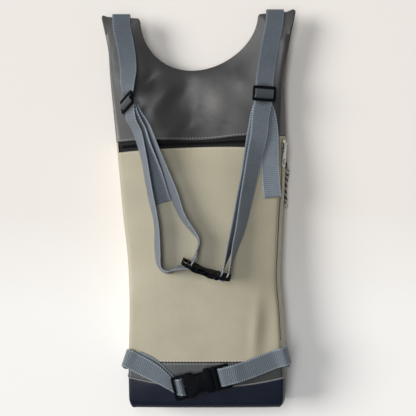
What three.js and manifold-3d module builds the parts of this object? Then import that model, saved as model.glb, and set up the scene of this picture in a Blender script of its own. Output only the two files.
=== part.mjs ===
// A rucksack of coated fabric that lies on its front, seen from the wearer's side.
// Two horns stand either side of a round neckline and go over the shoulders. A webbing strap from each horn
// runs through a slider to a chest buckle, and a webbing belt with a second buckle closes round the hips.
// Millimetres. +X is to the right, +Y runs from the base to the horns, +Z points up from the floor at Z = 0.
import * as THREE from "three";
import { mergeVertices } from "three/addons/utils/BufferGeometryUtils.js";
import Module from "manifold-3d";

const wasm = await Module();
wasm.setup();

// Driving dimensions
const TOP = 274.7; // tip of the right horn, above the middle of the bag
const BOTTOM = -277.4; // underside of the base
const HALF_SPAN = 135.7; // from the middle line to the tip of either horn
const CLOTH = 1.8; // coated fabric and its backing
const GAP = 0.4; // space left at a seam and between stacked pieces
const WEB = { width: 25, thick: 1.6 }; // webbing of the straps and the belt
const LEFT_SEAM_INSET = 2; // the back's left seam lies this far inside the outline
const SIDE_BREAK = 0.7; // share of the height at which a side wall turns upright
const FLOOR_ROUND = 8; // the base's rounding where it meets the floor
const HORN_RAISE = 33; // the padded horns stand this far off the floor
const HORN_SEAM_TOP = 244.7; // the side walls run out into the horns' edges here

// Sections across the bag, from the base up: the outline, the height of the back's side seams above the
// floor, the swell of the back between them, and how far the right seam lies inside the outline
const SECTIONS = [
  { y: BOTTOM, left: -96.0, right: 120.0, lift: 66, crown: 4, inset: 4.5 },
  { y: -243, left: -96.7, right: 120.9, lift: 70, crown: 5, inset: 5.5 },
  { y: -196, left: -96.6, right: 120.6, lift: 68, crown: 7, inset: 9 },
  { y: -147, left: -96.0, right: 118.3, lift: 65, crown: 8, inset: 9.5 },
  { y: -104, left: -97.0, right: 114.7, lift: 61, crown: 9, inset: 9.5 },
  { y: -68, left: -99.3, right: 115.7, lift: 57, crown: 9, inset: 9.5 },
  { y: -15, left: -105.5, right: 118.2, lift: 52, crown: 9, inset: 9.5 },
  { y: 35, left: -110.3, right: 121.3, lift: 48, crown: 9, inset: 9.5 },
  { y: 90, left: -115.8, right: 122.9, lift: 42, crown: 8, inset: 9.5 },
  { y: 139.3, left: -120.7, right: 121.5, lift: 39.4, crown: 6, inset: 6.8 },
  { y: 178, left: -124, right: 121, lift: 41.4, crown: 3, inset: 4.8 },
  { y: 221, left: -126.5, right: 125.6, lift: 43.2, crown: 0, inset: 3.4 },
  { y: 249.8, left: -131, right: 129.6, lift: 43, crown: 0, inset: 3 },
  { y: TOP, left: -HALF_SPAN, right: HALF_SPAN, lift: 40.4, crown: 0, inset: 2.6 },
];

// Neckline between the horns: half an ellipse that leans to the left
const NECK = { x: 0.66, y: 264.9, halfWidth: 82.5, depth: 74, lean: 0.09, slope: 3, softness: 28 };
const NECK_START = 2.5; // degrees of the half ellipse that the rounding of the horns' corners takes

// The horns' top edges, from the outer tip to the neckline on the left and back again on the right
const HORN_TOPS = {
  left: [
    { x: -HALF_SPAN, y: 262 },
    { x: -135.2, y: 264.6 },
    { x: -133.5, y: 266.1 },
    { x: -127.1, y: 263.8 },
    { x: -102.6, y: 262.6 },
    { x: -84.5, y: 261.9 },
    { x: -81.8, y: 258.4 },
  ],
  right: [
    { x: 83.1, y: 264.9 },
    { x: 85.5, y: 267.9 },
    { x: 104.1, y: 269.5 },
    { x: 122.7, y: 270.9 },
    { x: 132.1, y: TOP },
    { x: 135.6, y: 272.8 },
    { x: HALF_SPAN, y: 269.8 },
  ],
};
const HORN_SHARE = 0.2; // share of the yoke's columns that run up each horn

// Folds and dents of the back, each along a line at whose ends it runs out: rise above the surface at its
// middle, negative for a valley, and its reach
const FOLDS = [
  { fromX: -46, fromY: 200, toX: -90, toY: 154, rise: -5, reach: 10 },
  { fromX: -8, fromY: 200, toX: -78, toY: 116, rise: 5, reach: 14 },
  { fromX: 4, fromY: 196, toX: -68, toY: 106, rise: -6, reach: 10 },
  { fromX: 6, fromY: 225, toX: -22, toY: 40, rise: -14, reach: 33 },
  { fromX: -2, fromY: 130, toX: -54, toY: 94, rise: 1.4, reach: 9 },
  { fromX: 6, fromY: 122, toX: -46, toY: 86, rise: -1.6, reach: 9 },
  { fromX: 45, fromY: 192, toX: 70, toY: 160, rise: 1, reach: 11 },
  { fromX: 84, fromY: -100, toX: 74, toY: -240, rise: 2, reach: 8 },
  { fromX: 99, fromY: -100, toX: 90, toY: -240, rise: -2.6, reach: 12 },
];

// Zip across the back: the yoke's hem above it and the panel's edge below it, from left to right
const ZIP_EDGES = [
  { x: -125, yoke: 87.6, panel: 72.6 },
  { x: -104.8, yoke: 88.6, panel: 74.2 },
  { x: -90, yoke: 89.9, panel: 75.6 },
  { x: -65, yoke: 90.9, panel: 77.6 },
  { x: -39.5, yoke: 91.2, panel: 79.4 },
  { x: -10, yoke: 91.3, panel: 80.8 },
  { x: 10, yoke: 91.7, panel: 81.3 },
  { x: 25, yoke: 92.8, panel: 81.4 },
  { x: 43.7, yoke: 95, panel: 81.5 },
  { x: 60, yoke: 96.5, panel: 81.2 },
  { x: 85, yoke: 97.3, panel: 80.2 },
  { x: 125, yoke: 97.4, panel: 78 },
];
const BACK_ZIP = { tuck: 5, coil: 5, coilThick: 1.4 }; // the tape goes under the cloth on both sides
// Zip in the right side: where it starts and ends, its place down the wall and the width of its window
const SIDE_ZIP = { top: 92, bottom: -186, down: 5.5, window: 4.4, tuck: 2.6, coil: 2.6, coilThick: 0.9 };

// The band above the base, and the seam between them that dips in the middle
const BAND_TOP = -213.5;
const BASE_SEAM = { middle: -247, ends: -234 };

// Colours
function finish(colour, roughness, metalness = 0) {
  return new THREE.MeshStandardMaterial({ color: colour, roughness, metalness });
}
const GREY = finish(0x6a6a6d, 0.55);
const BEIGE = finish(0xb4ab93, 0.55);
const NAVY = finish(0x262c39, 0.5);
const WEBBING = finish(0x6d7681, 0.8);
const BLACK_PLASTIC = finish(0x0e1218, 0.4);
const BLACK_TAPE = finish(0x0a0b12, 0.75);
const BEIGE_TAPE = finish(0xa39b83, 0.75);
const SILVER = finish(0xb4b7b3, 0.3, 1);
const CORD_FIBRE = finish(0x8d8f8d, 0.85);

const clamp = THREE.MathUtils.clamp;
const lerp = THREE.MathUtils.lerp;
const smoothstep = THREE.MathUtils.smoothstep;
const radians = THREE.MathUtils.degToRad;

const bag = new THREE.Group();
function addPiece(name, geometry, material) {
  const mesh = new THREE.Mesh(geometry, material);
  mesh.name = name;
  bag.add(mesh);
  return mesh;
}

// A table's columns at any place, on smooth curves through its rows
function smoothRow(rows, key, place, columns) {
  const last = rows.length - 1;
  const at = clamp(place, rows[0][key], rows[last][key]);
  let i = 0;
  while (i < last - 1 && rows[i + 1][key] < at) i += 1;
  const [before, low, high, after] = [i - 1, i, i + 1, i + 2].map((k) => rows[clamp(k, 0, last)]);
  const span = high[key] - low[key];
  const t = (at - low[key]) / span;
  const t2 = t * t;
  const t3 = t2 * t;
  return columns.map((column) => {
    const lowTangent = ((high[column] - before[column]) / (high[key] - before[key])) * span;
    const highTangent = ((after[column] - low[column]) / (after[key] - low[key])) * span;
    return (
      low[column] * (2 * t3 - 3 * t2 + 1) +
      lowTangent * (t3 - 2 * t2 + t) +
      high[column] * (3 * t2 - 2 * t3) +
      highTangent * (t3 - t2)
    );
  });
}

function sectionAt(y) {
  const columns = ["left", "right", "lift", "crown", "inset"];
  const [left, right, lift, crown, inset] = smoothRow(SECTIONS, "y", y, columns);
  return { left, right, lift, crown, seamLeft: left + LEFT_SEAM_INSET, seamRight: right - inset };
}

// Edges and surfaces of the bag's body
function neckPoint(angle) {
  const across = Math.cos(angle);
  return new THREE.Vector2(
    NECK.x + NECK.halfWidth * across,
    NECK.y + NECK.slope * across - NECK.depth * Math.sin(angle) * (1 - NECK.lean * across),
  );
}

function alongCorners(corners, share) {
  const place = share * (corners.length - 1);
  const i = Math.min(Math.floor(place), corners.length - 2);
  return new THREE.Vector2(
    lerp(corners[i].x, corners[i + 1].x, place - i),
    lerp(corners[i].y, corners[i + 1].y, place - i),
  );
}

// The yoke's upper edge from the left horn's tip, round the neckline, to the right horn's tip
function topEdge(share) {
  if (share <= HORN_SHARE) return alongCorners(HORN_TOPS.left, share / HORN_SHARE);
  if (share >= 1 - HORN_SHARE) return alongCorners(HORN_TOPS.right, (share - 1 + HORN_SHARE) / HORN_SHARE);
  const round = (share - HORN_SHARE) / (1 - 2 * HORN_SHARE);
  return neckPoint(lerp(Math.PI - radians(NECK_START), radians(NECK_START), round));
}

function hornTopAt(x) {
  const corners = x < NECK.x ? HORN_TOPS.left : HORN_TOPS.right;
  for (let i = 0; i < corners.length - 1; i += 1) {
    const [a, b] = [corners[i], corners[i + 1]];
    if (x <= b.x) return lerp(a.y, b.y, clamp((x - a.x) / (b.x - a.x), 0, 1));
  }
  return corners[corners.length - 1].y;
}

// Distance from a point of the yoke to the edge where its back and front are sewn together
function sewnDistance(x, y) {
  const across = (x - NECK.x) / NECK.halfWidth;
  const side = clamp(across, -1, 1);
  const down = (NECK.y + NECK.slope * side - y) / (NECK.depth * (1 - NECK.lean * side));
  const ring = Math.hypot(across, Math.max(down, 0));
  const toNeck = ((ring - 1) * (NECK.halfWidth + NECK.depth)) / 2;
  const toTop = Math.abs(across) > 1 ? hornTopAt(x) - y : Infinity;
  return Math.max(0, Math.min(toNeck, toTop));
}

function foldRise(x, y) {
  let rise = 0;
  for (const fold of FOLDS) {
    const [dx, dy] = [fold.toX - fold.fromX, fold.toY - fold.fromY];
    const share = clamp(((x - fold.fromX) * dx + (y - fold.fromY) * dy) / (dx * dx + dy * dy), 0, 1);
    const away = Math.hypot(x - fold.fromX - share * dx, y - fold.fromY - share * dy) / fold.reach;
    rise += fold.rise * Math.sin(Math.PI * share) ** 2 * Math.exp(-away * away);
  }
  return rise;
}

// Underside of the front, which lies on the floor and rises towards the horns
function frontHeight(y) {
  return HORN_RAISE * smoothstep(y, 90, 265);
}

// Outer surface of the back
function backHeight(x, y) {
  const section = sectionAt(y);
  const across = clamp((x - section.seamLeft) / (section.seamRight - section.seamLeft), 0, 1);
  const body = section.lift + section.crown * (1 - Math.abs(2 * across - 1) ** 3) + foldRise(x, y);
  const sewn = frontHeight(y) + 2 * CLOTH + GAP;
  return sewn + (body - sewn) * (1 - Math.exp(-sewnDistance(x, y) / NECK.softness));
}

function backZipTop(x) {
  return smoothRow(ZIP_EDGES, "x", x, ["yoke"])[0];
}

function panelTop(x) {
  return smoothRow(ZIP_EDGES, "x", x, ["panel"])[0];
}

// Straight seam across the front, between the places where the side seams change colour
function frontSeam(x) {
  return lerp(backZipTop(-115), backZipTop(115), (x + 115) / 230);
}

function baseSeam(x) {
  const section = sectionAt(BASE_SEAM.ends);
  const across = clamp((2 * (x - section.left)) / (section.right - section.left) - 1, -1, 1);
  return lerp(BASE_SEAM.middle, BASE_SEAM.ends, across * across);
}

// Outer surface of a side wall: share 0 under the back's seam, 1 at the front panel
function sidePoint(y, side, share) {
  const section = sectionAt(y);
  const seam = side < 0 ? section.seamLeft : section.seamRight;
  const outline = side < 0 ? section.left : section.right;
  const top = backHeight(seam, y) - CLOTH - 2 * GAP;
  const bottom = frontHeight(y) + CLOTH + 1.5 * GAP;
  const z = lerp(top, bottom, share);
  const slant = clamp((top - z) / ((top - bottom) * (1 - SIDE_BREAK)), 0, 1);
  return new THREE.Vector3(lerp(seam, outline, slant), y, z);
}

// Geometry from points and triangles, with its faces turned outwards
function closedGeometry(points, triangles) {
  const volume = triangles.reduce((sum, [a, b, c]) => {
    return sum + points[a].dot(new THREE.Vector3().crossVectors(points[b], points[c]));
  }, 0);
  const geometry = new THREE.BufferGeometry();
  geometry.setAttribute("position", new THREE.Float32BufferAttribute(points.flatMap((p) => p.toArray()), 3));
  geometry.setIndex(triangles.flatMap(([a, b, c]) => (volume < 0 ? [a, c, b] : [a, b, c])));
  geometry.computeVertexNormals();
  return geometry;
}

// A wall between two surfaces, each given by a function of two shares from 0 to 1
function wall(columns, rows, outer, inner) {
  const points = [];
  for (const surface of [outer, inner]) {
    for (let j = 0; j <= rows; j += 1) {
      for (let i = 0; i <= columns; i += 1) points.push(surface(i / columns, j / rows));
    }
  }
  const layer = (columns + 1) * (rows + 1);
  const at = (i, j, side) => side * layer + j * (columns + 1) + i;
  const triangles = [];
  const quad = (a, b, c, d) => triangles.push([a, b, c], [a, c, d]);
  for (let j = 0; j < rows; j += 1) {
    for (let i = 0; i < columns; i += 1) {
      quad(at(i, j, 0), at(i + 1, j, 0), at(i + 1, j + 1, 0), at(i, j + 1, 0));
      quad(at(i, j, 1), at(i, j + 1, 1), at(i + 1, j + 1, 1), at(i + 1, j, 1));
    }
  }
  for (let i = 0; i < columns; i += 1) {
    quad(at(i, 0, 1), at(i + 1, 0, 1), at(i + 1, 0, 0), at(i, 0, 0));
    quad(at(i, rows, 0), at(i + 1, rows, 0), at(i + 1, rows, 1), at(i, rows, 1));
  }
  for (let j = 0; j < rows; j += 1) {
    quad(at(0, j, 0), at(0, j + 1, 0), at(0, j + 1, 1), at(0, j, 1));
    quad(at(columns, j, 1), at(columns, j + 1, 1), at(columns, j + 1, 0), at(columns, j, 0));
  }
  return closedGeometry(points, triangles);
}

// A wall of even thickness under a surface that faces up
function wallBelow(columns, rows, surface, thick, sink = 0) {
  const lowered = (depth) => (s, t) => {
    const p = surface(s, t);
    return p.setZ(p.z - depth);
  };
  return wall(columns, rows, lowered(sink), lowered(sink + thick));
}

// Boolean help: three.js geometry to a solid and back
function solidOf(geometry) {
  const bare = geometry.clone();
  bare.deleteAttribute("normal");
  bare.deleteAttribute("uv");
  const merged = mergeVertices(bare, 1e-4);
  const mesh = new wasm.Mesh({
    numProp: 3,
    vertProperties: new Float32Array(merged.attributes.position.array),
    triVerts: new Uint32Array(merged.index.array),
  });
  return new wasm.Manifold(mesh);
}

function geometryOf(solid) {
  const mesh = solid.getMesh();
  const geometry = new THREE.BufferGeometry();
  geometry.setAttribute("position", new THREE.BufferAttribute(new Float32Array(mesh.vertProperties), 3));
  geometry.setIndex(new THREE.BufferAttribute(new Uint32Array(mesh.triVerts), 1));
  geometry.computeVertexNormals();
  return geometry;
}

// Yoke: the grey back and front with the horns, sewn together round the neckline
function yokePoint(share, climb, side) {
  const lowY = (x) => (side === "front" ? frontSeam(x) + GAP : backZipTop(x));
  const edge = (y, left) => {
    const section = sectionAt(y);
    if (side === "front") return left ? section.left : section.right;
    return left ? section.seamLeft : section.seamRight;
  };
  const [startLeft, startRight] = [edge(lowY(-110), true), edge(lowY(110), false)];
  const startX = lerp(startLeft, startRight, share);
  const start = new THREE.Vector2(startX, lowY(startX));
  const p = start.clone().lerp(topEdge(share), climb);
  const leftPull = Math.max(0, 1 - share / HORN_SHARE);
  const rightPull = Math.max(0, 1 - (1 - share) / HORN_SHARE);
  const straightLeft = lerp(startLeft, topEdge(0).x, climb);
  const straightRight = lerp(startRight, topEdge(1).x, climb);
  const ease = 1 - climb ** 6;
  p.x += ease * leftPull * (edge(p.y, true) - straightLeft);
  p.x += ease * rightPull * (edge(p.y, false) - straightRight);
  return p;
}

function makeYokes() {
  const back = (share, climb) => {
    const p = yokePoint(share, climb, "back");
    return new THREE.Vector3(p.x, p.y, backHeight(p.x, p.y));
  };
  addPiece("back_yoke", wallBelow(30, 12, back, CLOTH), GREY);
  const front = (share, climb) => {
    const p = yokePoint(share, climb, "front");
    return new THREE.Vector3(p.x, p.y, frontHeight(p.y) + CLOTH);
  };
  addPiece("front_yoke", wallBelow(30, 6, front, CLOTH), GREY);
}

// Beige back and front panels, and the side walls of both colours
function makePanels() {
  const back = (share, climb) => {
    const y = lerp(BAND_TOP + GAP, panelTop(lerp(-110, 112, share)), climb);
    const section = sectionAt(y);
    const x = lerp(section.seamLeft, section.seamRight, share);
    return new THREE.Vector3(x, y, backHeight(x, y));
  };
  addPiece("back_panel", wallBelow(14, 12, back, CLOTH), BEIGE);

  const front = (share, climb) => {
    const y = lerp(BAND_TOP + GAP, frontSeam(lerp(-120, 120, share)), climb);
    const section = sectionAt(y);
    return new THREE.Vector3(lerp(section.left, section.right, share), y, CLOTH);
  };
  addPiece("front_panel", wallBelow(4, 10, front, CLOTH), BEIGE);
}

function sideWall(name, side, fromY, toY, fromShare, toShare, material) {
  const shareAt = (share, y) => (typeof share === "function" ? share(y) : share);
  const outer = (across, along) => {
    const y = lerp(fromY, toY, along);
    return sidePoint(y, side, lerp(shareAt(fromShare, y), shareAt(toShare, y), across));
  };
  const inner = (across, along) => {
    const p = outer(across, along);
    return p.setX(p.x - side * CLOTH);
  };
  addPiece(name, wall(3, 12, outer, inner), material);
}

// Share down the right side wall at a distance in millimetres below its top edge
function sideShare(distance) {
  return (y) => {
    const [top, bottom] = [sidePoint(y, 1, 0), sidePoint(y, 1, 1)];
    return distance / (top.z - bottom.z);
  };
}

function makeSides() {
  const yokeFrom = { left: backZipTop(-115), right: backZipTop(115) };
  sideWall("side_yoke_left", -1, yokeFrom.left + GAP, HORN_SEAM_TOP, 0, 1, GREY);
  sideWall("side_yoke_right", 1, yokeFrom.right + GAP, HORN_SEAM_TOP, 0, 1, GREY);
  sideWall("side_panel_left", -1, BAND_TOP + GAP, yokeFrom.left, 0, 1, BEIGE);

  // The right wall has the zip's window cut through it
  const half = SIDE_ZIP.window / 2;
  const outer = (across, along) => sidePoint(lerp(BAND_TOP + GAP, yokeFrom.right, along), 1, across);
  const inner = (across, along) => {
    const p = outer(across, along);
    return p.setX(p.x - CLOTH);
  };
  const cutter = (reach) => (across, along) => {
    const y = lerp(SIDE_ZIP.bottom, SIDE_ZIP.top, along);
    const down = SIDE_ZIP.down + lerp(-half, half, across);
    const p = sidePoint(y, 1, sideShare(down)(y));
    return p.setX(p.x + reach);
  };
  const window = wall(1, 12, cutter(4), cutter(-6));
  const panel = solidOf(wall(7, 12, outer, inner)).subtract(solidOf(window));
  addPiece("side_panel_right", geometryOf(panel), BEIGE);
}

// Closed loop round the bag at one height, drawn in by an inset, for the band and the base
const LOOP = { back: 12, floor: 5 };
function sectionLoop(seamY, inset) {
  const middle = sectionAt(seamY(0));
  const loop = [];
  for (let i = 0; i <= LOOP.back; i += 1) {
    const x = lerp(middle.seamLeft, middle.seamRight, i / LOOP.back);
    const y = seamY(x);
    loop.push(new THREE.Vector3(x, y, backHeight(x, y)));
  }
  const sideDown = (x, seamX) => {
    const y = seamY(x);
    const top = backHeight(seamX, y);
    return [
      new THREE.Vector3(x, y, top * SIDE_BREAK),
      new THREE.Vector3(x, y, FLOOR_ROUND),
      new THREE.Vector3(x - Math.sign(x) * FLOOR_ROUND * 0.3, y, FLOOR_ROUND * 0.3),
    ];
  };
  loop.push(...sideDown(middle.right, middle.seamRight));
  for (let i = 0; i <= LOOP.floor; i += 1) {
    const x = lerp(middle.right - FLOOR_ROUND, middle.left + FLOOR_ROUND, i / LOOP.floor);
    loop.push(new THREE.Vector3(x, seamY(Math.sign(x) * 200), 0));
  }
  loop.push(...sideDown(middle.left, middle.seamLeft).reverse());
  return loop.map((p, i) => {
    const [before, after] = [loop.at(i - 1), loop[(i + 1) % loop.length]];
    const along = new THREE.Vector2(after.x - before.x, after.z - before.z).normalize();
    return new THREE.Vector3(p.x + along.y * inset, p.y, p.z - along.x * inset);
  });
}

// A tube, or a tub where it has a floor, from outer loops and the matching inner loops
function ringSolid(outerLoops, innerLoops, closedEnd) {
  const count = outerLoops[0].length;
  const points = [...outerLoops.flat(), ...innerLoops.flat()];
  const triangles = [];
  const innerStart = outerLoops.length * count;
  const at = (start, ring, i) => start + ring * count + (i % count);
  const join = (startA, ringA, startB, ringB) => {
    for (let i = 0; i < count; i += 1) {
      const [a, b] = [at(startA, ringA, i), at(startA, ringA, i + 1)];
      const [c, d] = [at(startB, ringB, i + 1), at(startB, ringB, i)];
      triangles.push([a, b, c], [a, c, d]);
    }
  };
  const last = outerLoops.length - 1;
  for (let ring = 0; ring < last; ring += 1) {
    join(0, ring, 0, ring + 1);
    join(innerStart, ring + 1, innerStart, ring);
  }
  join(innerStart, 0, 0, 0);
  if (!closedEnd) join(0, last, innerStart, last);
  const fan = (start, turned) => {
    const loop = points.slice(start + last * count, start + (last + 1) * count);
    const centre = loop.reduce((sum, p) => sum.add(p), new THREE.Vector3()).divideScalar(count);
    const middle = points.push(centre) - 1;
    for (let i = 0; i < count; i += 1) {
      const [a, b] = [at(start, last, i), at(start, last, i + 1)];
      triangles.push(turned ? [b, a, middle] : [a, b, middle]);
    }
  };
  if (closedEnd) {
    fan(0, false);
    fan(innerStart, true);
  }
  return closedGeometry(points, triangles);
}

function makeBandAndBase() {
  const bandHeights = [() => BAND_TOP, (x) => lerp(BAND_TOP, baseSeam(x), 0.5), (x) => baseSeam(x)];
  const bandLoops = (inset) => bandHeights.map((height) => sectionLoop(height, inset));
  addPiece("lower_band", ringSolid(bandLoops(0), bandLoops(CLOTH), false), GREY);

  // Rows down to the base's underside: height above it and how far its edge has rounded in
  const rounding = [
    { up: 9, inset: 0 },
    { up: 4, inset: 1 },
    { up: 1, inset: 3.6 },
    { up: 0, inset: 7 },
  ];
  const rows = [
    { height: (x) => baseSeam(x) - GAP, inset: 0, up: 0 },
    ...rounding.map(({ up, inset }) => ({ height: () => BOTTOM + up, inset, up: CLOTH })),
  ];
  const outer = rows.map((row) => sectionLoop(row.height, row.inset));
  const inner = rows.map((row) => {
    const raise = row.inset > 0 ? CLOTH : 0;
    return sectionLoop((x) => row.height(x) + raise, row.inset + CLOTH);
  });
  addPiece("base", ringSolid(outer, inner, true), NAVY);
}

// Zips
function makeBackZip() {
  const ends = { left: sectionAt(80).seamLeft + 4, right: sectionAt(80).seamRight - 4 };
  const strip = (yAt) => (share, climb) => {
    const x = lerp(ends.left, ends.right, share);
    const y = yAt(x, climb);
    return new THREE.Vector3(x, y, backHeight(x, y));
  };
  const tape = strip((x, climb) => lerp(panelTop(x) - BACK_ZIP.tuck, backZipTop(x) + BACK_ZIP.tuck, climb));
  const under = CLOTH + 3 * GAP;
  addPiece("back_zip_tape", wallBelow(20, 3, tape, 1, under), BLACK_TAPE);
  const coil = strip((x, climb) => (panelTop(x) + backZipTop(x)) / 2 + BACK_ZIP.coil * (climb - 0.5));
  const coilSink = under - GAP - BACK_ZIP.coilThick;
  addPiece("back_zip_coil", wallBelow(20, 1, coil, BACK_ZIP.coilThick, coilSink), BLACK_TAPE);
}

function makeSideZip() {
  const strip = (half, depth) => (across, along) => {
    const y = lerp(SIDE_ZIP.bottom + GAP, SIDE_ZIP.top - GAP, along);
    const p = sidePoint(y, 1, sideShare(SIDE_ZIP.down + lerp(-half, half, across))(y));
    return p.setX(p.x - depth);
  };
  const tapeHalf = SIDE_ZIP.window / 2 + SIDE_ZIP.tuck;
  const tapeAt = CLOTH + 3 * GAP;
  addPiece("side_zip_tape", wall(3, 12, strip(tapeHalf, tapeAt), strip(tapeHalf, tapeAt + 1)), BEIGE_TAPE);
  const coilHalf = SIDE_ZIP.coil / 2;
  const coilAt = tapeAt - GAP;
  const coil = wall(1, 12, strip(coilHalf, coilAt - SIDE_ZIP.coilThick), strip(coilHalf, coilAt));
  addPiece("side_zip_coil", coil, BEIGE_TAPE);
}

// Frames in which hard pieces stand: along the webbing, across it, and out of the piece's face
function hardFrame(origin, { heading, pitch = 0, roll, lean }) {
  const [turn, rise, tilt] = [radians(heading), radians(pitch), radians(roll)];
  const level = new THREE.Vector3(Math.cos(turn), Math.sin(turn), 0);
  const aside = new THREE.Vector3(level.y, -level.x, 0).multiplyScalar(lean);
  const along = new THREE.Vector3(0, 0, Math.sin(rise)).addScaledVector(level, Math.cos(rise));
  const upright = new THREE.Vector3(0, 0, Math.cos(rise)).addScaledVector(level, -Math.sin(rise));
  const face = upright.multiplyScalar(Math.cos(tilt)).addScaledVector(aside, Math.sin(tilt));
  const across = new THREE.Vector3().crossVectors(face, along);
  const matrix = new THREE.Matrix4().makeBasis(along, across, face).setPosition(origin);
  const at = (u, h, shift = 0) => {
    return origin.clone().addScaledVector(along, u).addScaledVector(across, shift).addScaledVector(face, h);
  };
  return { at, matrix, face };
}

// Strap sliders: place, heading and rise of the webbing, roll to the outside, and height over the back
const SLIDERS = {
  left: { x: -98.6, y: 142.2, heading: -80, pitch: 26, roll: 54, standoff: 20.5, lean: 1 },
  right: { x: 90.8, y: 154.4, heading: -94, roll: 4, standoff: 16, lean: -1 },
};
const SLIDER = { length: 21, width: 32, thick: 2.6, corner: 2.5, bar: 2.8, slotWidth: 26.6, middleBar: 3 };

// Buckles: place, heading from the strap's slotted end, roll, height over the back, and length factor
const BUCKLES = {
  chest: { x: 11.8, y: -87.3, heading: -19, roll: 82, standoff: 17.4, lean: -1, stretch: 1 },
  hip: { x: 6.4, y: -238.8, heading: 14.5, roll: 0, standoff: 8.8, lean: -1, stretch: 1.16 },
};
// Sizes of a buckle along its length from its middle, and across
const BUCKLE = {
  half: 16.5,
  body: 7,
  frame: 4.5,
  socketEnds: [-36, 12],
  bodyStart: -21,
  socketSlots: [[-33, -28.5], [-25.5, -21]],
  plugEnds: [12.4, 33.5],
  plugBlock: 18,
  plugSlots: [[18, 22.5], [26, 30.5]],
  slotHalf: 13.2,
  corner: 3,
  notch: { at: -4, out: 19, radius: 8 },
  cavity: { from: -15, half: 13.6, high: 2.1 },
  prong: { tip: -13, thick: 3.4, guide: 2.4, armIn: 9, armOut: 12, bulge: 13.2 },
};

function roundedRectangle(x0, x1, y0, y1, r) {
  const shape = new THREE.Shape();
  shape.moveTo(x0 + r, y0);
  shape.lineTo(x1 - r, y0);
  shape.absarc(x1 - r, y0 + r, r, -Math.PI / 2, 0);
  shape.lineTo(x1, y1 - r);
  shape.absarc(x1 - r, y1 - r, r, 0, Math.PI / 2);
  shape.lineTo(x0 + r, y1);
  shape.absarc(x0 + r, y1 - r, r, Math.PI / 2, Math.PI);
  shape.lineTo(x0, y0 + r);
  shape.absarc(x0 + r, y0 + r, r, Math.PI, Math.PI * 1.5);
  return shape;
}

function plate(shape, thick) {
  const geometry = new THREE.ExtrudeGeometry(shape, { depth: thick, bevelEnabled: false, curveSegments: 2 });
  return geometry.translate(0, 0, -thick / 2);
}

function makeSlider(name, frame) {
  const { length, width, thick, corner, bar, slotWidth, middleBar } = SLIDER;
  const shape = roundedRectangle(-length / 2, length / 2, -width / 2, width / 2, corner);
  for (const side of [-1, 1]) {
    const ends = [(side * middleBar) / 2, side * (length / 2 - bar)].sort((a, b) => a - b);
    shape.holes.push(roundedRectangle(ends[0], ends[1], -slotWidth / 2, slotWidth / 2, 1));
  }
  addPiece(name, plate(shape, thick).applyMatrix4(frame.matrix), BLACK_PLASTIC);
}

// A side-release buckle: the socket with a two-slot end, and the plug with its guide and two arms
function makeBuckle(name, frame, stretch) {
  const { half, slotHalf, corner, cavity, prong, notch } = BUCKLE;
  const slotted = (ends, slots) => {
    const shape = roundedRectangle(ends[0], ends[1], -half, half, corner);
    for (const slot of slots) shape.holes.push(roundedRectangle(slot[0], slot[1], -slotHalf, slotHalf, 1));
    return solidOf(plate(shape, BUCKLE.frame));
  };
  const block = (from, to, halfWide, thick) => {
    return solidOf(plate(roundedRectangle(from, to, -halfWide, halfWide, 1.2), thick));
  };
  const box = (from, to, halfWide, thick) => {
    const geometry = new THREE.BoxGeometry(to - from, 2 * halfWide, thick);
    return solidOf(geometry.translate((from + to) / 2, 0, 0));
  };
  const [socketLeft, socketRight] = BUCKLE.socketEnds;
  let socket = slotted([socketLeft, BUCKLE.bodyStart + 4], BUCKLE.socketSlots);
  socket = socket.add(block(BUCKLE.bodyStart, socketRight, half, BUCKLE.body));
  socket = socket.subtract(box(cavity.from, socketRight + 1, cavity.half, 2 * cavity.high));
  for (const side of [-1, 1]) {
    const round = new THREE.CylinderGeometry(notch.radius, notch.radius, BUCKLE.body + 2, 16);
    round.rotateX(Math.PI / 2).translate(notch.at, side * notch.out, 0);
    socket = socket.subtract(solidOf(round));
  }
  const [plugLeft, plugRight] = BUCKLE.plugEnds;
  let plug = slotted([plugLeft, plugRight], BUCKLE.plugSlots);
  plug = plug.add(box(plugLeft, BUCKLE.plugBlock, half, BUCKLE.body));
  plug = plug.add(box(prong.tip, plugLeft + 1, prong.guide, prong.thick));
  for (const side of [-1, 1]) {
    const arm = new THREE.Shape();
    arm.moveTo(plugLeft + 1, side * prong.armIn);
    arm.lineTo(prong.tip, side * prong.armIn);
    arm.lineTo(prong.tip + 3, side * prong.bulge);
    arm.lineTo(notch.at + 4, side * prong.bulge);
    arm.lineTo(notch.at + 6, side * prong.armOut);
    arm.lineTo(plugLeft + 1, side * prong.armOut);
    plug = plug.add(solidOf(plate(arm, prong.thick)));
  }
  const place = frame.matrix.clone().scale(new THREE.Vector3(stretch, 1, 1));
  addPiece(`${name}_buckle_socket`, geometryOf(socket).applyMatrix4(place), BLACK_PLASTIC);
  addPiece(`${name}_buckle_plug`, geometryOf(plug).applyMatrix4(place), BLACK_PLASTIC);
}

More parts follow.
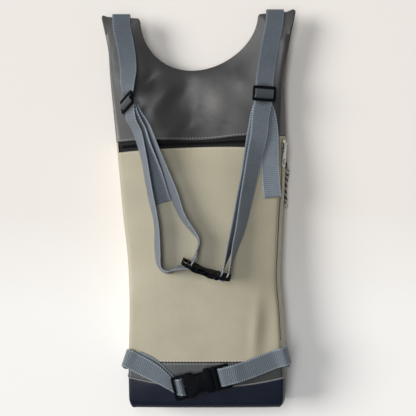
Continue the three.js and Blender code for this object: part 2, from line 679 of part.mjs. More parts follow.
// Webbing as a flat band through points, each with the direction its face looks, and narrower where it is
// gathered
function webbing(name, stations, stepsEach) {
  const route = new THREE.CatmullRomCurve3(stations.map((station) => station.at), false, "centripetal");
  const faces = new THREE.CatmullRomCurve3(stations.map((station) => station.face), false, "centripetal");
  const steps = stepsEach * (stations.length - 1);
  const widths = stations.map((station) => station.width ?? WEB.width);
  const widthAt = (t) => {
    const place = t * (widths.length - 1);
    const i = Math.min(Math.floor(place), widths.length - 2);
    return lerp(widths[i], widths[i + 1], place - i);
  };
  const ring = (t) => {
    const centre = route.getPoint(t);
    const along = route.getTangent(t);
    const face = faces.getPoint(t);
    face.addScaledVector(along, -face.dot(along)).normalize();
    const across = new THREE.Vector3().crossVectors(along, face).multiplyScalar(widthAt(t) / 2);
    face.multiplyScalar(WEB.thick / 2);
    return [[-1, -1], [1, -1], [1, 1], [-1, 1]].map(([a, f]) => {
      return centre.clone().addScaledVector(across, a).addScaledVector(face, f);
    });
  };
  const points = [];
  for (let i = 0; i <= steps; i += 1) points.push(...ring(i / steps));
  const triangles = [];
  for (let i = 0; i < steps; i += 1) {
    for (let k = 0; k < 4; k += 1) {
      const [a, b] = [4 * i + k, 4 * i + ((k + 1) % 4)];
      triangles.push([a, a + 4, b + 4], [a, b + 4, b]);
    }
  }
  const end = 4 * steps;
  triangles.push([0, 1, 2], [0, 2, 3], [end, end + 2, end + 1], [end, end + 3, end + 2]);
  addPiece(name, closedGeometry(points, triangles), WEBBING);
}

// Stations of webbing that lies or stands on the back: each row gives the place of its middle line, its roll
// from lying flat, and its height over the cloth; the heading comes from the rows before and after
function onBack(rows, lean) {
  return rows.map((row, i) => {
    const [before, after] = [rows[Math.max(i - 1, 0)], rows[Math.min(i + 1, rows.length - 1)]];
    const along = new THREE.Vector3(after.x - before.x, after.y - before.y, 0).normalize();
    const aside = new THREE.Vector3(along.y, -along.x, 0).multiplyScalar(lean);
    const roll = radians(row.roll);
    const face = new THREE.Vector3(0, 0, Math.cos(roll)).addScaledVector(aside, Math.sin(roll));
    const across = new THREE.Vector3().crossVectors(along, face);
    let z = 0;
    for (let k = -4; k <= 4; k += 1) {
      const reach = (k / 8) * WEB.width;
      const cloth = backHeight(row.x + across.x * reach, row.y + across.y * reach);
      z = Math.max(z, cloth - across.z * reach);
    }
    z += Math.abs(face.z) * (WEB.thick / 2) + row.over;
    return { at: new THREE.Vector3(row.x, row.y, z), face, width: row.width };
  });
}

// Stations of webbing in a hard piece: each row gives the distance along it, the height over its middle and
// the turn of the face, and where the webbing is gathered its shift across and its width
function inFrame(frame, places, faceAt) {
  return places.map(([u, h, turn, shift, width]) => {
    return { at: frame.at(u, h, shift), face: faceAt(turn), width };
  });
}

function frameOf(place) {
  const origin = new THREE.Vector3(place.x, place.y, backHeight(place.x, place.y) + place.standoff);
  return hardFrame(origin, place);
}

const sliderFrames = { left: frameOf(SLIDERS.left), right: frameOf(SLIDERS.right) };
const buckleFrames = { chest: frameOf(BUCKLES.chest), hip: frameOf(BUCKLES.hip) };

// Direction out of the webbing's face in a hard piece's frame: turned from the piece's face about its width
function turned(frame) {
  const along = new THREE.Vector3().setFromMatrixColumn(frame.matrix, 0);
  return (angle) => {
    const turn = radians(angle);
    return frame.face.clone().multiplyScalar(Math.cos(turn)).addScaledVector(along, -Math.sin(turn));
  };
}

// Way of the webbing through a slider: distance along it, height over it and turn of the face.
// It goes under the first bar, over the middle one and under the last; the tail and the return lie behind it.
const THROUGH_SLIDER = [
  [-11, -3.4, 0],
  [-8.6, -3.2, 15],
  [-6.6, -2.2, 40],
  [-4.3, 0.2, 50],
  [-1.9, 2.5, 30],
  [0, 3.1, 0],
  [1.9, 2.5, -30],
  [4.3, 0.2, -50],
  [6.6, -2.2, -40],
  [8.6, -3.2, -15],
  [12, -3.5, 0],
];
const TAIL_START = [
  [-2, -2.8, 0],
  [2, -3.1, -8],
  [6, -4.5, -15],
  [9.5, -5.9, -10],
  [14, -6.7, 0],
];
const RETURN_END = [
  [14, -10.6, 180],
  [9.5, -9.2, 170],
  [6, -7.4, 165],
  [2, -6, 170],
  [-1, -5.7, 180],
];

// Webbing folded under a horn and over its top
function hornStart(x, lead) {
  const top = hornTopAt(x);
  const up = new THREE.Vector3(0, 0, 1);
  const fold = backHeight(x, top) + GAP + WEB.thick / 2;
  const low = frontHeight(top - 17) - 2.5 * GAP - WEB.thick / 2;
  const [middle, radius] = [(fold + low) / 2, (fold - low) / 2];
  const stations = [
    { at: new THREE.Vector3(x + lead, top - 17, low), face: up.clone().negate() },
    { at: new THREE.Vector3(x + lead * 0.5, top - 9, low), face: up.clone().negate() },
  ];
  for (let i = 0; i <= 4; i += 1) {
    const angle = radians(-90 + 45 * i);
    const face = new THREE.Vector3(0, Math.cos(angle), Math.sin(angle));
    stations.push({
      at: new THREE.Vector3(x, top + GAP, middle).addScaledVector(face, radius),
      face,
    });
  }
  return stations;
}

// Strap routes over the back, from the horn to the slider, from the slider to the buckle, and back again
const LEFT_UPPER = [
  { x: -106.8, y: 246.9, roll: 0, over: 0.7 },
  { x: -103.8, y: 233.3, roll: 2, over: 0.7 },
  { x: -100.7, y: 217.1, roll: 6, over: 1.2 },
  { x: -98.5, y: 200.8, roll: 12, over: 2.2 },
  { x: -97.2, y: 185.7, roll: 20, over: 4.6 },
  { x: -97.9, y: 169.3, roll: 34, over: 7 },
];
const LEFT_DOWN = [
  { x: -92.6, y: 119, roll: 56, over: 11.6 },
  { x: -84, y: 101, roll: 60, over: 2.4 },
  { x: -74.9, y: 66.2, roll: 68, over: 1 },
  { x: -69.7, y: 37.5, roll: 70, over: 1 },
  { x: -65, y: 12, roll: 70, over: 1 },
  { x: -59.2, y: -13.1, roll: 73, over: 1 },
  { x: -56.5, y: -32, roll: 73, over: 1 },
  { x: -55.9, y: -50, roll: 70, over: 1 },
  { x: -55.1, y: -66, roll: 70, over: 1 },
  { x: -53.6, y: -78, roll: 74, over: 1.2 },
  { x: -49, y: -87.5, roll: 80, over: 1.8 },
  { x: -40, y: -90.5, roll: 84, over: 2.4 },
];
const LEFT_RETURN = [
  { x: -3.4, y: -64.3, roll: 91, over: 2 },
  { x: 0.6, y: -52, roll: 93, over: 1.2 },
  { x: -0.6, y: -44, roll: 96, over: 1 },
  { x: -6.4, y: -36, roll: 102, over: 1 },
  { x: -13.7, y: -26.7, roll: 106, over: 1 },
  { x: -22.3, y: -13.1, roll: 110, over: 1 },
  { x: -33.9, y: 17, roll: 118, over: 1 },
  { x: -44.9, y: 45.7, roll: 113, over: 1 },
  { x: -57.5, y: 75.7, roll: 112, over: 1 },
  { x: -66.7, y: 97, roll: 116, over: 1.6 },
  { x: -73.6, y: 110, roll: 122, over: 3.8 },
  { x: -80.4, y: 120.4, roll: 122, over: 7 },
];
const LEFT_TAIL = [
  { x: -86.6, y: 120, roll: 56, over: 9.2 },
  { x: -79.4, y: 105, roll: 54, over: 2.6 },
  { x: -72.6, y: 82, roll: 50, over: 1 },
  { x: -60.5, y: 42, roll: 22, over: 1 },
  { x: -54.6, y: 20, roll: 10, over: 1 },
  { x: -49.8, y: 3.6, roll: 7, over: 1 },
];
const RIGHT_UPPER = [
  { x: 105.6, y: 252.7, roll: 0, over: 0.7 },
  { x: 102.7, y: 238.1, roll: 0, over: 0.7 },
  { x: 99, y: 220, roll: 0, over: 0.9 },
  { x: 95.8, y: 199, roll: 0, over: 1.6 },
  { x: 92.7, y: 178, roll: 0, over: 4.5 },
];
const RIGHT_DOWN = [
  { x: 86.6, y: 128, roll: 7, over: 9.8 },
  { x: 83.5, y: 98, roll: 13, over: 8.2 },
  { x: 76, y: 62.3, roll: 30, over: 5.4 },
  { x: 70.5, y: 34, roll: 38, over: 4 },
  { x: 65.3, y: 7.5, roll: 44, over: 3 },
  { x: 61, y: -15, roll: 50, over: 2.8 },
  { x: 56.4, y: -35, roll: 58, over: 2.6 },
  { x: 49.5, y: -58, roll: 70, over: 2.6 },
];
const RIGHT_RETURN = [
  { x: 42.8, y: -58, roll: 110, over: 1 },
  { x: 50.6, y: -33, roll: 124, over: 1 },
  { x: 55.8, y: -13, roll: 131, over: 1 },
  { x: 60.6, y: 9, roll: 137, over: 1 },
  { x: 66.8, y: 36, roll: 143, over: 1 },
  { x: 72.4, y: 65, roll: 151, over: 1 },
  { x: 79.4, y: 99, roll: 168, over: 1 },
  { x: 85, y: 128, roll: 177, over: 1.4 },
];
const RIGHT_TAIL = [
  { x: 95, y: 126, roll: 10, over: 5.8 },
  { x: 98.8, y: 100, roll: 10, over: 3.2 },
  { x: 99, y: 78, roll: 6, over: 2.6 },
  { x: 99, y: 56, roll: 3, over: 1.6 },
  { x: 100.2, y: 34, roll: 3, over: 1 },
  { x: 102.4, y: 11, roll: 3, over: 1 },
];

// Way through the chest buckle: into the socket's far slot, and round the bar between the plug's slots
const INTO_SOCKET = [
  [-40, -13, 34],
  [-34, -8.8, 34],
  [-29, -5.4, 28],
  [-25.6, -4, 30],
  [-23.8, -2.4, 58],
  [-23, 0, 76],
  [-22.6, 2.6, 80],
  [-21.6, 6.5, 76],
];
function roundPlugBar() {
  const { plugSlots } = BUCKLE;
  const centre = (plugSlots[0][1] + plugSlots[1][0]) / 2;
  const radius = 4.1;
  const places = [[centre + radius, 8, -90], [centre + radius, 4, -90]];
  for (let angle = 0; angle <= 180; angle += 30) {
    const turn = radians(angle);
    places.push([centre + radius * Math.cos(turn), -radius * Math.sin(turn), -90 - angle]);
  }
  places.push([centre - radius, 4, -270], [centre - radius, 8, -270]);
  return places;
}

function makeStraps() {
  const { left, right } = sliderFrames;
  const { chest } = buckleFrames;
  const leftFace = turned(left);
  const rightFace = turned(right);
  const chestFace = turned(chest);
  webbing(
    "strap_left",
    [
      ...hornStart(-108, -1),
      ...onBack(LEFT_UPPER, 1),
      ...inFrame(left, THROUGH_SLIDER, leftFace),
      ...onBack(LEFT_DOWN, 1),
      ...inFrame(chest, INTO_SOCKET, (angle) => chestFace(180 + angle)),
      ...onBack(LEFT_RETURN, 1),
      ...inFrame(left, RETURN_END, leftFace),
    ],
    2,
  );
  webbing("strap_left_tail", [...inFrame(left, TAIL_START, leftFace), ...onBack(LEFT_TAIL, 1)], 2);
  webbing(
    "strap_right",
    [
      ...hornStart(107.1, 1),
      ...onBack(RIGHT_UPPER, -1),
      ...inFrame(right, THROUGH_SLIDER, rightFace),
      ...onBack(RIGHT_DOWN, -1),
      ...inFrame(chest, roundPlugBar(), chestFace),
      ...onBack(RIGHT_RETURN, -1),
      ...inFrame(right, RETURN_END, rightFace),
    ],
    2,
  );
  webbing("strap_right_tail", [...inFrame(right, TAIL_START, rightFace), ...onBack(RIGHT_TAIL, -1)], 2);
  makeSlider("slider_left", left);
  makeSlider("slider_right", right);
  makeBuckle("chest", chest, BUCKLES.chest.stretch);
}

// Hip belt: from each side wall, over the edge of the back, to the hip buckle
const BELT_LEFT = [
  { x: -86, y: -213.8, roll: 0, over: 3.6 },
  { x: -70, y: -221.6, roll: 4, over: 3.4 },
  { x: -57, y: -229, roll: 6, over: 3.4, width: 23 },
  { x: -47, y: -236, roll: 6, over: 3.6, width: 19 },
];
const BELT_LEFT_RETURN = [
  { x: -47, y: -230.4, roll: 180, over: 1.2, width: 17 },
  { x: -58, y: -223, roll: 180, over: 0.8, width: 22 },
  { x: -70, y: -216.6, roll: 180, over: 0.8 },
  { x: -84, y: -210.4, roll: 180, over: 0.8 },
];
const BELT_RIGHT = [
  { x: 106, y: -209.6, roll: 0, over: 1 },
  { x: 90, y: -215.2, roll: 0, over: 2 },
  { x: 74, y: -220.6, roll: 0, over: 5 },
  { x: 62, y: -224.4, roll: 0, over: 8 },
];
// Rise of the belt up the outside of a wall: distance out from the outline, place and height, lean of the
// face, and its turn towards the horns, as the belt goes over the edge aslant
const BELT_RISE = {
  left: [
    { out: 1.6, y: -216, z: 12, tilt: 90, turn: 0 },
    { out: 1.7, y: -216, z: 32, tilt: 90, turn: 0 },
    { out: 3, y: -213.5, z: 52, tilt: 88, turn: 8 },
    { out: 3.9, y: -208, z: 68.4, tilt: 66, turn: 26 },
    { out: -0.6, y: -208.2, z: 75, tilt: 26, turn: 26 },
  ],
  right: [
    { out: 1.6, y: -213, z: 12, tilt: 90, turn: 0 },
    { out: 1.7, y: -213, z: 32, tilt: 90, turn: 0 },
    { out: 2.8, y: -210.5, z: 52, tilt: 88, turn: 7 },
    { out: 2.6, y: -204.5, z: 68, tilt: 62, turn: 20 },
    { out: -3.4, y: -206, z: 75, tilt: 22, turn: 20 },
  ],
};

function beltRise(side) {
  const rows = side < 0 ? BELT_RISE.left : BELT_RISE.right;
  return rows.map((row) => {
    const section = sectionAt(row.y);
    const outline = side < 0 ? section.left : section.right;
    const [tilt, turn] = [radians(row.tilt), radians(row.turn)];
    const out = new THREE.Vector3(side * Math.cos(turn), Math.sin(turn), 0);
    return {
      at: new THREE.Vector3(outline + side * row.out, row.y, row.z),
      face: out.multiplyScalar(Math.sin(tilt)).setZ(Math.cos(tilt)),
    };
  });
}

// Way of the belt through the hip buckle: under the socket's first bar, over the second and below itself;
// and over the plug's frame, down by its block and back under
const BELT_INTO_SOCKET = [
  [-43.2, -4.7, 0, 6, 14],
  [-39.6, -4.8, 2, 3.8, 17],
  [-36.1, -2.3, 50, 2.4, 20.2],
  [-34.8, 1.2, 62, 2, 21],
  [-33.2, 3.6, 30, 1.6, 21.8],
  [-31.3, 4.1, 0, 1.2, 22.6],
  [-29.1, 3.2, -50, 0.8, 23.4],
  [-27.4, 0.6, -80, 0.4, 24.2],
  [-27.2, -2.4, -95],
  [-28.5, -5.4, -135],
  [-31.6, -6.9, -175],
  [-39, -7.3, -180, 4, 18],
];
const BELT_ROUND_PLUG = [
  [46, 3.6, 0],
  [40, 3.8, 0],
  [33, 4, 0],
  [28, 4, 0],
  [25.2, 2.9, 45],
  [23.6, 0, 90],
  [25.2, -2.9, 135],
  [28, -4, 180],
  [34, -4, 180],
  [43, -4.2, 180],
];

function makeBelt() {
  const { hip } = buckleFrames;
  const face = turned(hip);
  webbing(
    "hip_belt_left",
    [
      ...beltRise(-1),
      ...onBack(BELT_LEFT, 1),
      ...inFrame(hip, BELT_INTO_SOCKET, face),
      ...onBack(BELT_LEFT_RETURN, 1),
    ],
    2,
  );
  webbing(
    "hip_belt_right",
    [...beltRise(1), ...onBack(BELT_RIGHT, 1), ...inFrame(hip, BELT_ROUND_PLUG, face)],
    2,
  );
  makeBuckle("hip", hip, BUCKLES.hip.stretch);
}

// Slider of the side zip and the metal tab that swings on its pin
const ZIP_PULL = {
  y: 86, // place of the slider on the zip
  body: { along: 11, across: 7.5, thick: 2, corner: 1.5 },
  ear: { inner: 2.7, outer: 3.7 },
  pin: { out: 4.7, radius: 0.6, hole: 0.95 },
  barrel: 1.6,
  tab: { length: 33, width: 7, neck: 4.4, thick: 1.4, slotLength: 9, slotWidth: 3 },
};
const ZIP_DROOP = 5; // degrees by which the tab slopes from its pin down to the cloth

function zipFrame() {
  const middle = (y) => sidePoint(y, 1, sideShare(SIDE_ZIP.down)(y));
  const origin = middle(ZIP_PULL.y);
  const along = middle(ZIP_PULL.y - 40).sub(origin).normalize();
  const down = sidePoint(ZIP_PULL.y, 1, sideShare(SIDE_ZIP.down + 2)(ZIP_PULL.y)).sub(origin);
  const face = new THREE.Vector3().crossVectors(along, down).normalize();
  const across = new THREE.Vector3().crossVectors(face, along);
  return new THREE.Matrix4().makeBasis(along, across, face).setPosition(origin);
}

function makeZipPull() {
  const { body, ear, pin, barrel, tab } = ZIP_PULL;
  const lift = GAP + 0.2;
  const frame = zipFrame();
  const rod = (radius, half) => solidOf(new THREE.CylinderGeometry(radius, radius, 2 * half, 12));
  const base = plate(
    roundedRectangle(-body.along / 2, body.along / 2, -body.across / 2, body.across / 2, body.corner),
    body.thick,
  );
  let slider = solidOf(base).translate([0, 0, lift + body.thick / 2]);
  for (const side of [-1, 1]) {
    const cheek = new THREE.BoxGeometry(3, ear.outer - ear.inner, pin.out - lift + 1);
    const middle = (side * (ear.inner + ear.outer)) / 2;
    slider = slider.add(solidOf(cheek).translate([0, middle, (pin.out + lift + 1) / 2]));
  }
  slider = slider.add(rod(pin.radius, ear.outer - 0.2).translate([0, 0, pin.out]));
  addPiece("side_zip_slider", geometryOf(slider).applyMatrix4(frame), SILVER);

  const outline = new THREE.Shape();
  outline.moveTo(0, -tab.neck / 2);
  outline.lineTo(tab.length * 0.45, -tab.width / 2);
  outline.lineTo(tab.length - tab.width / 2, -tab.width / 2);
  outline.absarc(tab.length - tab.width / 2, 0, tab.width / 2, -Math.PI / 2, Math.PI / 2);
  outline.lineTo(tab.length * 0.45, tab.width / 2);
  outline.lineTo(0, tab.neck / 2);
  const slotEnd = tab.length - tab.width / 2 + 0.5;
  outline.holes.push(
    roundedRectangle(slotEnd - tab.slotLength, slotEnd, -tab.slotWidth / 2, tab.slotWidth / 2, 1.45),
  );
  let pull = solidOf(plate(outline, tab.thick)).add(rod(barrel, tab.neck / 2));
  pull = pull.subtract(rod(pin.hole, tab.neck));
  const droop = new THREE.Matrix4().makeRotationY(radians(ZIP_DROOP)).setPosition(0, 0, pin.out);
  addPiece("side_zip_pull", geometryOf(pull).applyMatrix4(droop).applyMatrix4(frame), SILVER);
}

// Twisted cord that hangs from a tab on the right side and lies on the floor, with a knot at its end
const CORD = { radius: 2.5, knot: 3.6, sides: 8, steps: 14 };
const CORD_ROUTE = [
  { y: 50, out: 3.6, z: 15 },
  { y: 45, out: 4.2, z: 10 },
  { y: 38, out: 4, z: 4.4 },
  { y: 29, out: 3.4, z: 2.9 },
  { y: 20, out: 3.3, z: 2.9 },
  { y: 11, out: 4.2, z: 2.9 },
  { y: 4, out: 5, z: 2.9 },
];

function makeCord() {
  const route = new THREE.CatmullRomCurve3(
    CORD_ROUTE.map(({ y, out, z }) => new THREE.Vector3(sectionAt(y).right + out, y, z)),
  );
  const round = new THREE.Shape();
  round.absarc(0, 0, CORD.radius, 0, Math.PI * 2);
  const cord = new THREE.ExtrudeGeometry(round, {
    steps: CORD.steps,
    curveSegments: CORD.sides / 2,
    extrudePath: route,
  });
  addPiece("pull_cord", cord, CORD_FIBRE);
  const end = route.getPoint(1).addScaledVector(route.getTangent(1), CORD.knot + GAP);
  const knot = new THREE.SphereGeometry(CORD.knot, 10, 7).translate(end.x, end.y, CORD.knot + GAP);
  addPiece("cord_knot", knot, CORD_FIBRE);
  const start = route.getPoint(0);
  const tab = new THREE.BoxGeometry(2, 9, 11);
  tab.translate(sectionAt(start.y + 5).right + 1.6, start.y + 2 + 4.5, start.z + 1);
  addPiece("cord_tab", tab, BLACK_TAPE);
}

makeYokes();
makePanels();
makeSides();
makeBandAndBase();
makeBackZip();
makeSideZip();
makeZipPull();
makeStraps();
makeBelt();
makeCord();

const rucksack = new THREE.Group();
rucksack.add(bag);

export default rucksack;
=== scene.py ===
# A rucksack of coated cloth that lies on its front, seen straight from above on the wearer's side.
# Shapes are in millimetres in the part's own frame, and turn into metres where a mesh is made.
import math
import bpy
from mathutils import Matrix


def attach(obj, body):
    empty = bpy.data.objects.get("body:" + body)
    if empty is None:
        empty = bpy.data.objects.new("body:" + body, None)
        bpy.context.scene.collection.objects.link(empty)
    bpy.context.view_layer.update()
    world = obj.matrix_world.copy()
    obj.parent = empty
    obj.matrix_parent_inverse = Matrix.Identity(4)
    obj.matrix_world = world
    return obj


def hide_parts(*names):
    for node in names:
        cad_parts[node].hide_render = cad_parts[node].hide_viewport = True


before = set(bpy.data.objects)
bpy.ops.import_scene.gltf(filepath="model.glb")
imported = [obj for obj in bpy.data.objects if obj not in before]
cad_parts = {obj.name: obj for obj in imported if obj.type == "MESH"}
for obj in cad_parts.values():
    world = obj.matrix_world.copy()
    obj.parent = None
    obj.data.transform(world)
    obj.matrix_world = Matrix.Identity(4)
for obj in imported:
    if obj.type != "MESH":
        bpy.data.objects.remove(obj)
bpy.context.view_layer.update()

from types import SimpleNamespace

import bmesh
import bpy
import numpy as np
from mathutils import Vector

MM = 0.001
BOTTOM = -277.4  # y of the base's foot
CLOTH = 1.8  # coated fabric and its backing
GAP = 0.4  # between neighbouring pieces
WEB_WIDTH, WEB_THICK = 25, 1.6
LEFT_SEAM_INSET = 2  # how far the left seam lies inside the outline
SIDE_BREAK = 0.7  # share of a side wall's height where it turns from upright to sloping
FLOOR_ROUND = 8  # radius of the body's edge on the floor
HORN_RAISE = 33  # height of the horns' undersides
RAISE_FROM, RAISE_TO = 90, 265  # y where the front leaves the floor and where it is up at that height
ZIP_END = 115.0  # x of the back zip's seam at the side walls
HORN_SEAM_TOP = 244.7  # y up to which the horns have side walls
HORN_SHARE = 0.2  # share of the yoke's top edge that each horn takes up
SHARP = 38  # degrees between faces from which a hard piece shows an edge
UP = (0, 0, 1.0)

# Sections across the bag: y, outline left and right, height of the back's side seams, swell between them,
# and how far the right seam lies inside the outline
SECTIONS = np.array([
    (-277.4, -96.0, 120.0, 66, 4, 4.5),
    (-243, -96.7, 120.9, 70, 5, 5.5),
    (-196, -96.6, 120.6, 68, 7, 9),
    (-147, -96.0, 118.3, 65, 8, 9.5),
    (-104, -97.0, 114.7, 61, 9, 9.5),
    (-68, -99.3, 115.7, 57, 9, 9.5),
    (-15, -105.5, 118.2, 52, 9, 9.5),
    (35, -110.3, 121.3, 48, 9, 9.5),
    (90, -115.8, 122.9, 42, 8, 9.5),
    (139.3, -120.7, 121.5, 39.4, 6, 6.8),
    (178, -124, 121, 41.4, 3, 4.8),
    (221, -126.5, 125.6, 43.2, 0, 3.4),
    (249.8, -131, 129.6, 43, 0, 3),
    (274.7, -135.7, 135.7, 40.4, 0, 2.6),
])

NECK = SimpleNamespace(x=0.66, y=264.9, half=82.5, depth=74, lean=0.09, slope=3, soft=28)
NECK_START = math.radians(2.5)
HORN_LEFT = np.array([(-135.7, 262), (-135.2, 264.6), (-133.5, 266.1), (-127.1, 263.8), (-102.6, 262.6),
                      (-84.5, 261.9), (-81.8, 258.4)])
HORN_RIGHT = np.array([(83.1, 264.9), (85.5, 267.9), (104.1, 269.5), (122.7, 270.9), (132.1, 274.7),
                       (135.6, 272.8), (135.7, 269.8)])

# Folds and dents of the back: from x, y, to x, y, rise (negative for a valley) and reach
FOLDS = [
    (-46, 200, -90, 154, -5, 10),
    (-8, 200, -78, 116, 3.8, 15),
    (4, 196, -68, 106, -4, 13),
    (6, 225, -22, 40, -14, 33),
    (-2, 130, -54, 94, 1.4, 9),
    (6, 122, -46, 86, -1.6, 9),
    (45, 192, 70, 160, 1, 11),
    (84, -100, 74, -240, 2, 8),
    (99, -100, 90, -240, -2.6, 12),
]
# Finer creases that the cloth shows on top of them
CREASES = [
    (-34, 172, -58, 138, 0.5, 7),
    (-74, 150, -92, 118, -0.7, 7),
]

# The yoke's hem above the back's zip and the panel's edge below it: x, hem, edge
ZIP_EDGES = np.array([
    (-125, 87.6, 72.6),
    (-104.8, 88.6, 74.2),
    (-90, 89.9, 75.6),
    (-65, 90.9, 77.6),
    (-39.5, 91.2, 79.4),
    (-10, 91.3, 80.8),
    (10, 91.7, 81.3),
    (25, 92.8, 81.4),
    (43.7, 95, 81.5),
    (60, 96.5, 81.2),
    (85, 97.3, 80.2),
    (125, 97.4, 78),
])
BACK_ZIP = SimpleNamespace(tuck=5, thick=1.4)
SIDE_ZIP = SimpleNamespace(top=92, bottom=-186, down=5.5, window=4.4, tuck=2.6, thick=0.9)
BAND_TOP = -213.5
BASE_SEAM_MIDDLE, BASE_SEAM_ENDS = -247, -234
PIPE = 0.95


# Surfaces of the body, all on arrays
def lerp(a, b, t):
    return a + (b - a) * t


def smoothstep(x, low, high):
    t = np.clip((np.asarray(x, float) - low) / (high - low), 0, 1)
    return t * t * (3 - 2 * t)


def smooth_rows(rows, place):
    """A table's columns at any place of its first column, on smooth curves through its rows."""
    place = np.clip(np.asarray(place, float), rows[0, 0], rows[-1, 0])
    i = np.clip(np.searchsorted(rows[:, 0], place) - 1, 0, len(rows) - 2)
    before, low, high, after = (rows[np.clip(i + k, 0, len(rows) - 1)] for k in (-1, 0, 1, 2))
    span = high[..., :1] - low[..., :1]
    t = (place[..., None] - low[..., :1]) / span
    into = (high - before) / (high[..., :1] - before[..., :1]) * span
    out = (after - low) / (after[..., :1] - low[..., :1]) * span
    value = (low * (2 * t**3 - 3 * t**2 + 1) + into * (t**3 - 2 * t**2 + t)
             + high * (3 * t**2 - 2 * t**3) + out * (t**3 - t**2))
    return np.moveaxis(value, -1, 0)[1:]


def section(y):
    left, right, lift, crown, inset = smooth_rows(SECTIONS, y)
    return SimpleNamespace(left=left, right=right, lift=lift, crown=crown,
                           seam_left=left + LEFT_SEAM_INSET, seam_right=right - inset)


def fold_rise(x, y, folds):
    """Height of folds that swell and die away along their lines and fall off beside them."""
    rise = np.zeros(np.broadcast(x, y).shape)
    for x0, y0, x1, y1, height, reach in folds:
        dx, dy = x1 - x0, y1 - y0
        share = np.clip(((x - x0) * dx + (y - y0) * dy) / (dx * dx + dy * dy), 0, 1)
        away = np.hypot(x - x0 - share * dx, y - y0 - share * dy) / reach
        rise = rise + height * np.sin(np.pi * share) ** 2 * np.exp(-away * away)
    return rise


def horn_top(x):
    corners = np.concatenate([HORN_LEFT, HORN_RIGHT])
    return np.interp(x, corners[:, 0], corners[:, 1])


def sewn_distance(x, y):
    """How far a place lies from the neckline or the horns' tops, where back and front are sewn together."""
    across = (x - NECK.x) / NECK.half
    side = np.clip(across, -1, 1)
    down = (NECK.y + NECK.slope * side - y) / (NECK.depth * (1 - NECK.lean * side))
    ring = np.hypot(across, np.maximum(down, 0))
    to_neck = (ring - 1) * (NECK.half + NECK.depth) / 2
    to_top = np.where(np.abs(across) > 1, horn_top(x) - y, np.inf)
    return np.maximum(0, np.minimum(to_neck, to_top))


def front_height(y):
    return HORN_RAISE * smoothstep(y, RAISE_FROM, RAISE_TO)


def back_height(x, y):
    x, y = np.asarray(x, float), np.asarray(y, float)
    at = section(y)
    across = np.clip((x - at.seam_left) / (at.seam_right - at.seam_left), 0, 1)
    body = at.lift + at.crown * (1 - np.abs(2 * across - 1) ** 3) + fold_rise(x, y, FOLDS)
    sewn = front_height(y) + 2 * CLOTH + GAP
    return sewn + (body - sewn) * (1 - np.exp(-sewn_distance(x, y) / NECK.soft))


def cloth_height(x, y):
    """The back with its finer creases and the slight unevenness of a soft panel."""
    ripple = (0.16 * np.sin(x / 9.0 + 1.3 * np.sin(y / 23.0)) * np.sin(y / 13.0 + 0.6)
              + 0.14 * np.sin(x / 17.0 - y / 11.0 + 2.1))
    settle = 1 - np.exp(-sewn_distance(x, y) / 10)
    return back_height(x, y) + settle * (fold_rise(x, y, CREASES) + ripple)


def back_zip_top(x):
    return smooth_rows(ZIP_EDGES, x)[0]


def panel_top(x):
    return smooth_rows(ZIP_EDGES, x)[1]


def front_seam(x):
    return lerp(back_zip_top(-ZIP_END), back_zip_top(ZIP_END), (x + ZIP_END) / (2 * ZIP_END))


def base_seam(x):
    at = section(BASE_SEAM_ENDS)
    across = np.clip(2 * (x - at.left) / (at.right - at.left) - 1, -1, 1)
    return lerp(BASE_SEAM_MIDDLE, BASE_SEAM_ENDS, across * across)


def side_point(y, side, share, soft=0.3):
    """A place on a side wall, whose break between slope and upright is softened."""
    y, share = np.broadcast_arrays(np.asarray(y, float), np.asarray(share, float))
    at = section(y)
    seam = at.seam_left if side < 0 else at.seam_right
    outline = at.left if side < 0 else at.right
    top = back_height(seam, y) - CLOTH - 2 * GAP
    bottom = front_height(y) + CLOTH + 1.5 * GAP
    z = lerp(top, bottom, share)
    slant = (top - z) / ((top - bottom) * (1 - SIDE_BREAK))
    blend = np.clip(0.5 + 0.5 * (1 - slant) / soft, 0, 1)
    slant = lerp(1, slant, blend) - soft * blend * (1 - blend)
    return np.stack([lerp(seam, outline, slant), y, z], axis=-1)


def side_share(y, distance):
    """Share of the right wall's height at a distance below its upper seam."""
    top, bottom = side_point(y, 1, 0.0), side_point(y, 1, 1.0)
    return distance / (top[..., 2] - bottom[..., 2])


def along_corners(corners, share):
    place = np.linspace(0, 1, len(corners))
    return np.stack([np.interp(share, place, corners[:, 0]), np.interp(share, place, corners[:, 1])], axis=-1)


def neck_point(angle):
    across = np.cos(angle)
    y = NECK.y + NECK.slope * across - NECK.depth * np.sin(angle) * (1 - NECK.lean * across)
    return np.stack([NECK.x + NECK.half * across, y], axis=-1)


def top_edge(share):
    """The yoke's top edge from the left horn round the neckline to the right horn."""
    left = along_corners(HORN_LEFT, np.clip(share / HORN_SHARE, 0, 1))
    right = along_corners(HORN_RIGHT, np.clip((share - 1 + HORN_SHARE) / HORN_SHARE, 0, 1))
    round_neck = np.clip((share - HORN_SHARE) / (1 - 2 * HORN_SHARE), 0, 1)
    neck = neck_point(lerp(np.pi - NECK_START, NECK_START, round_neck))
    pick = share[..., None]
    return np.where(pick <= HORN_SHARE, left, np.where(pick >= 1 - HORN_SHARE, right, neck))


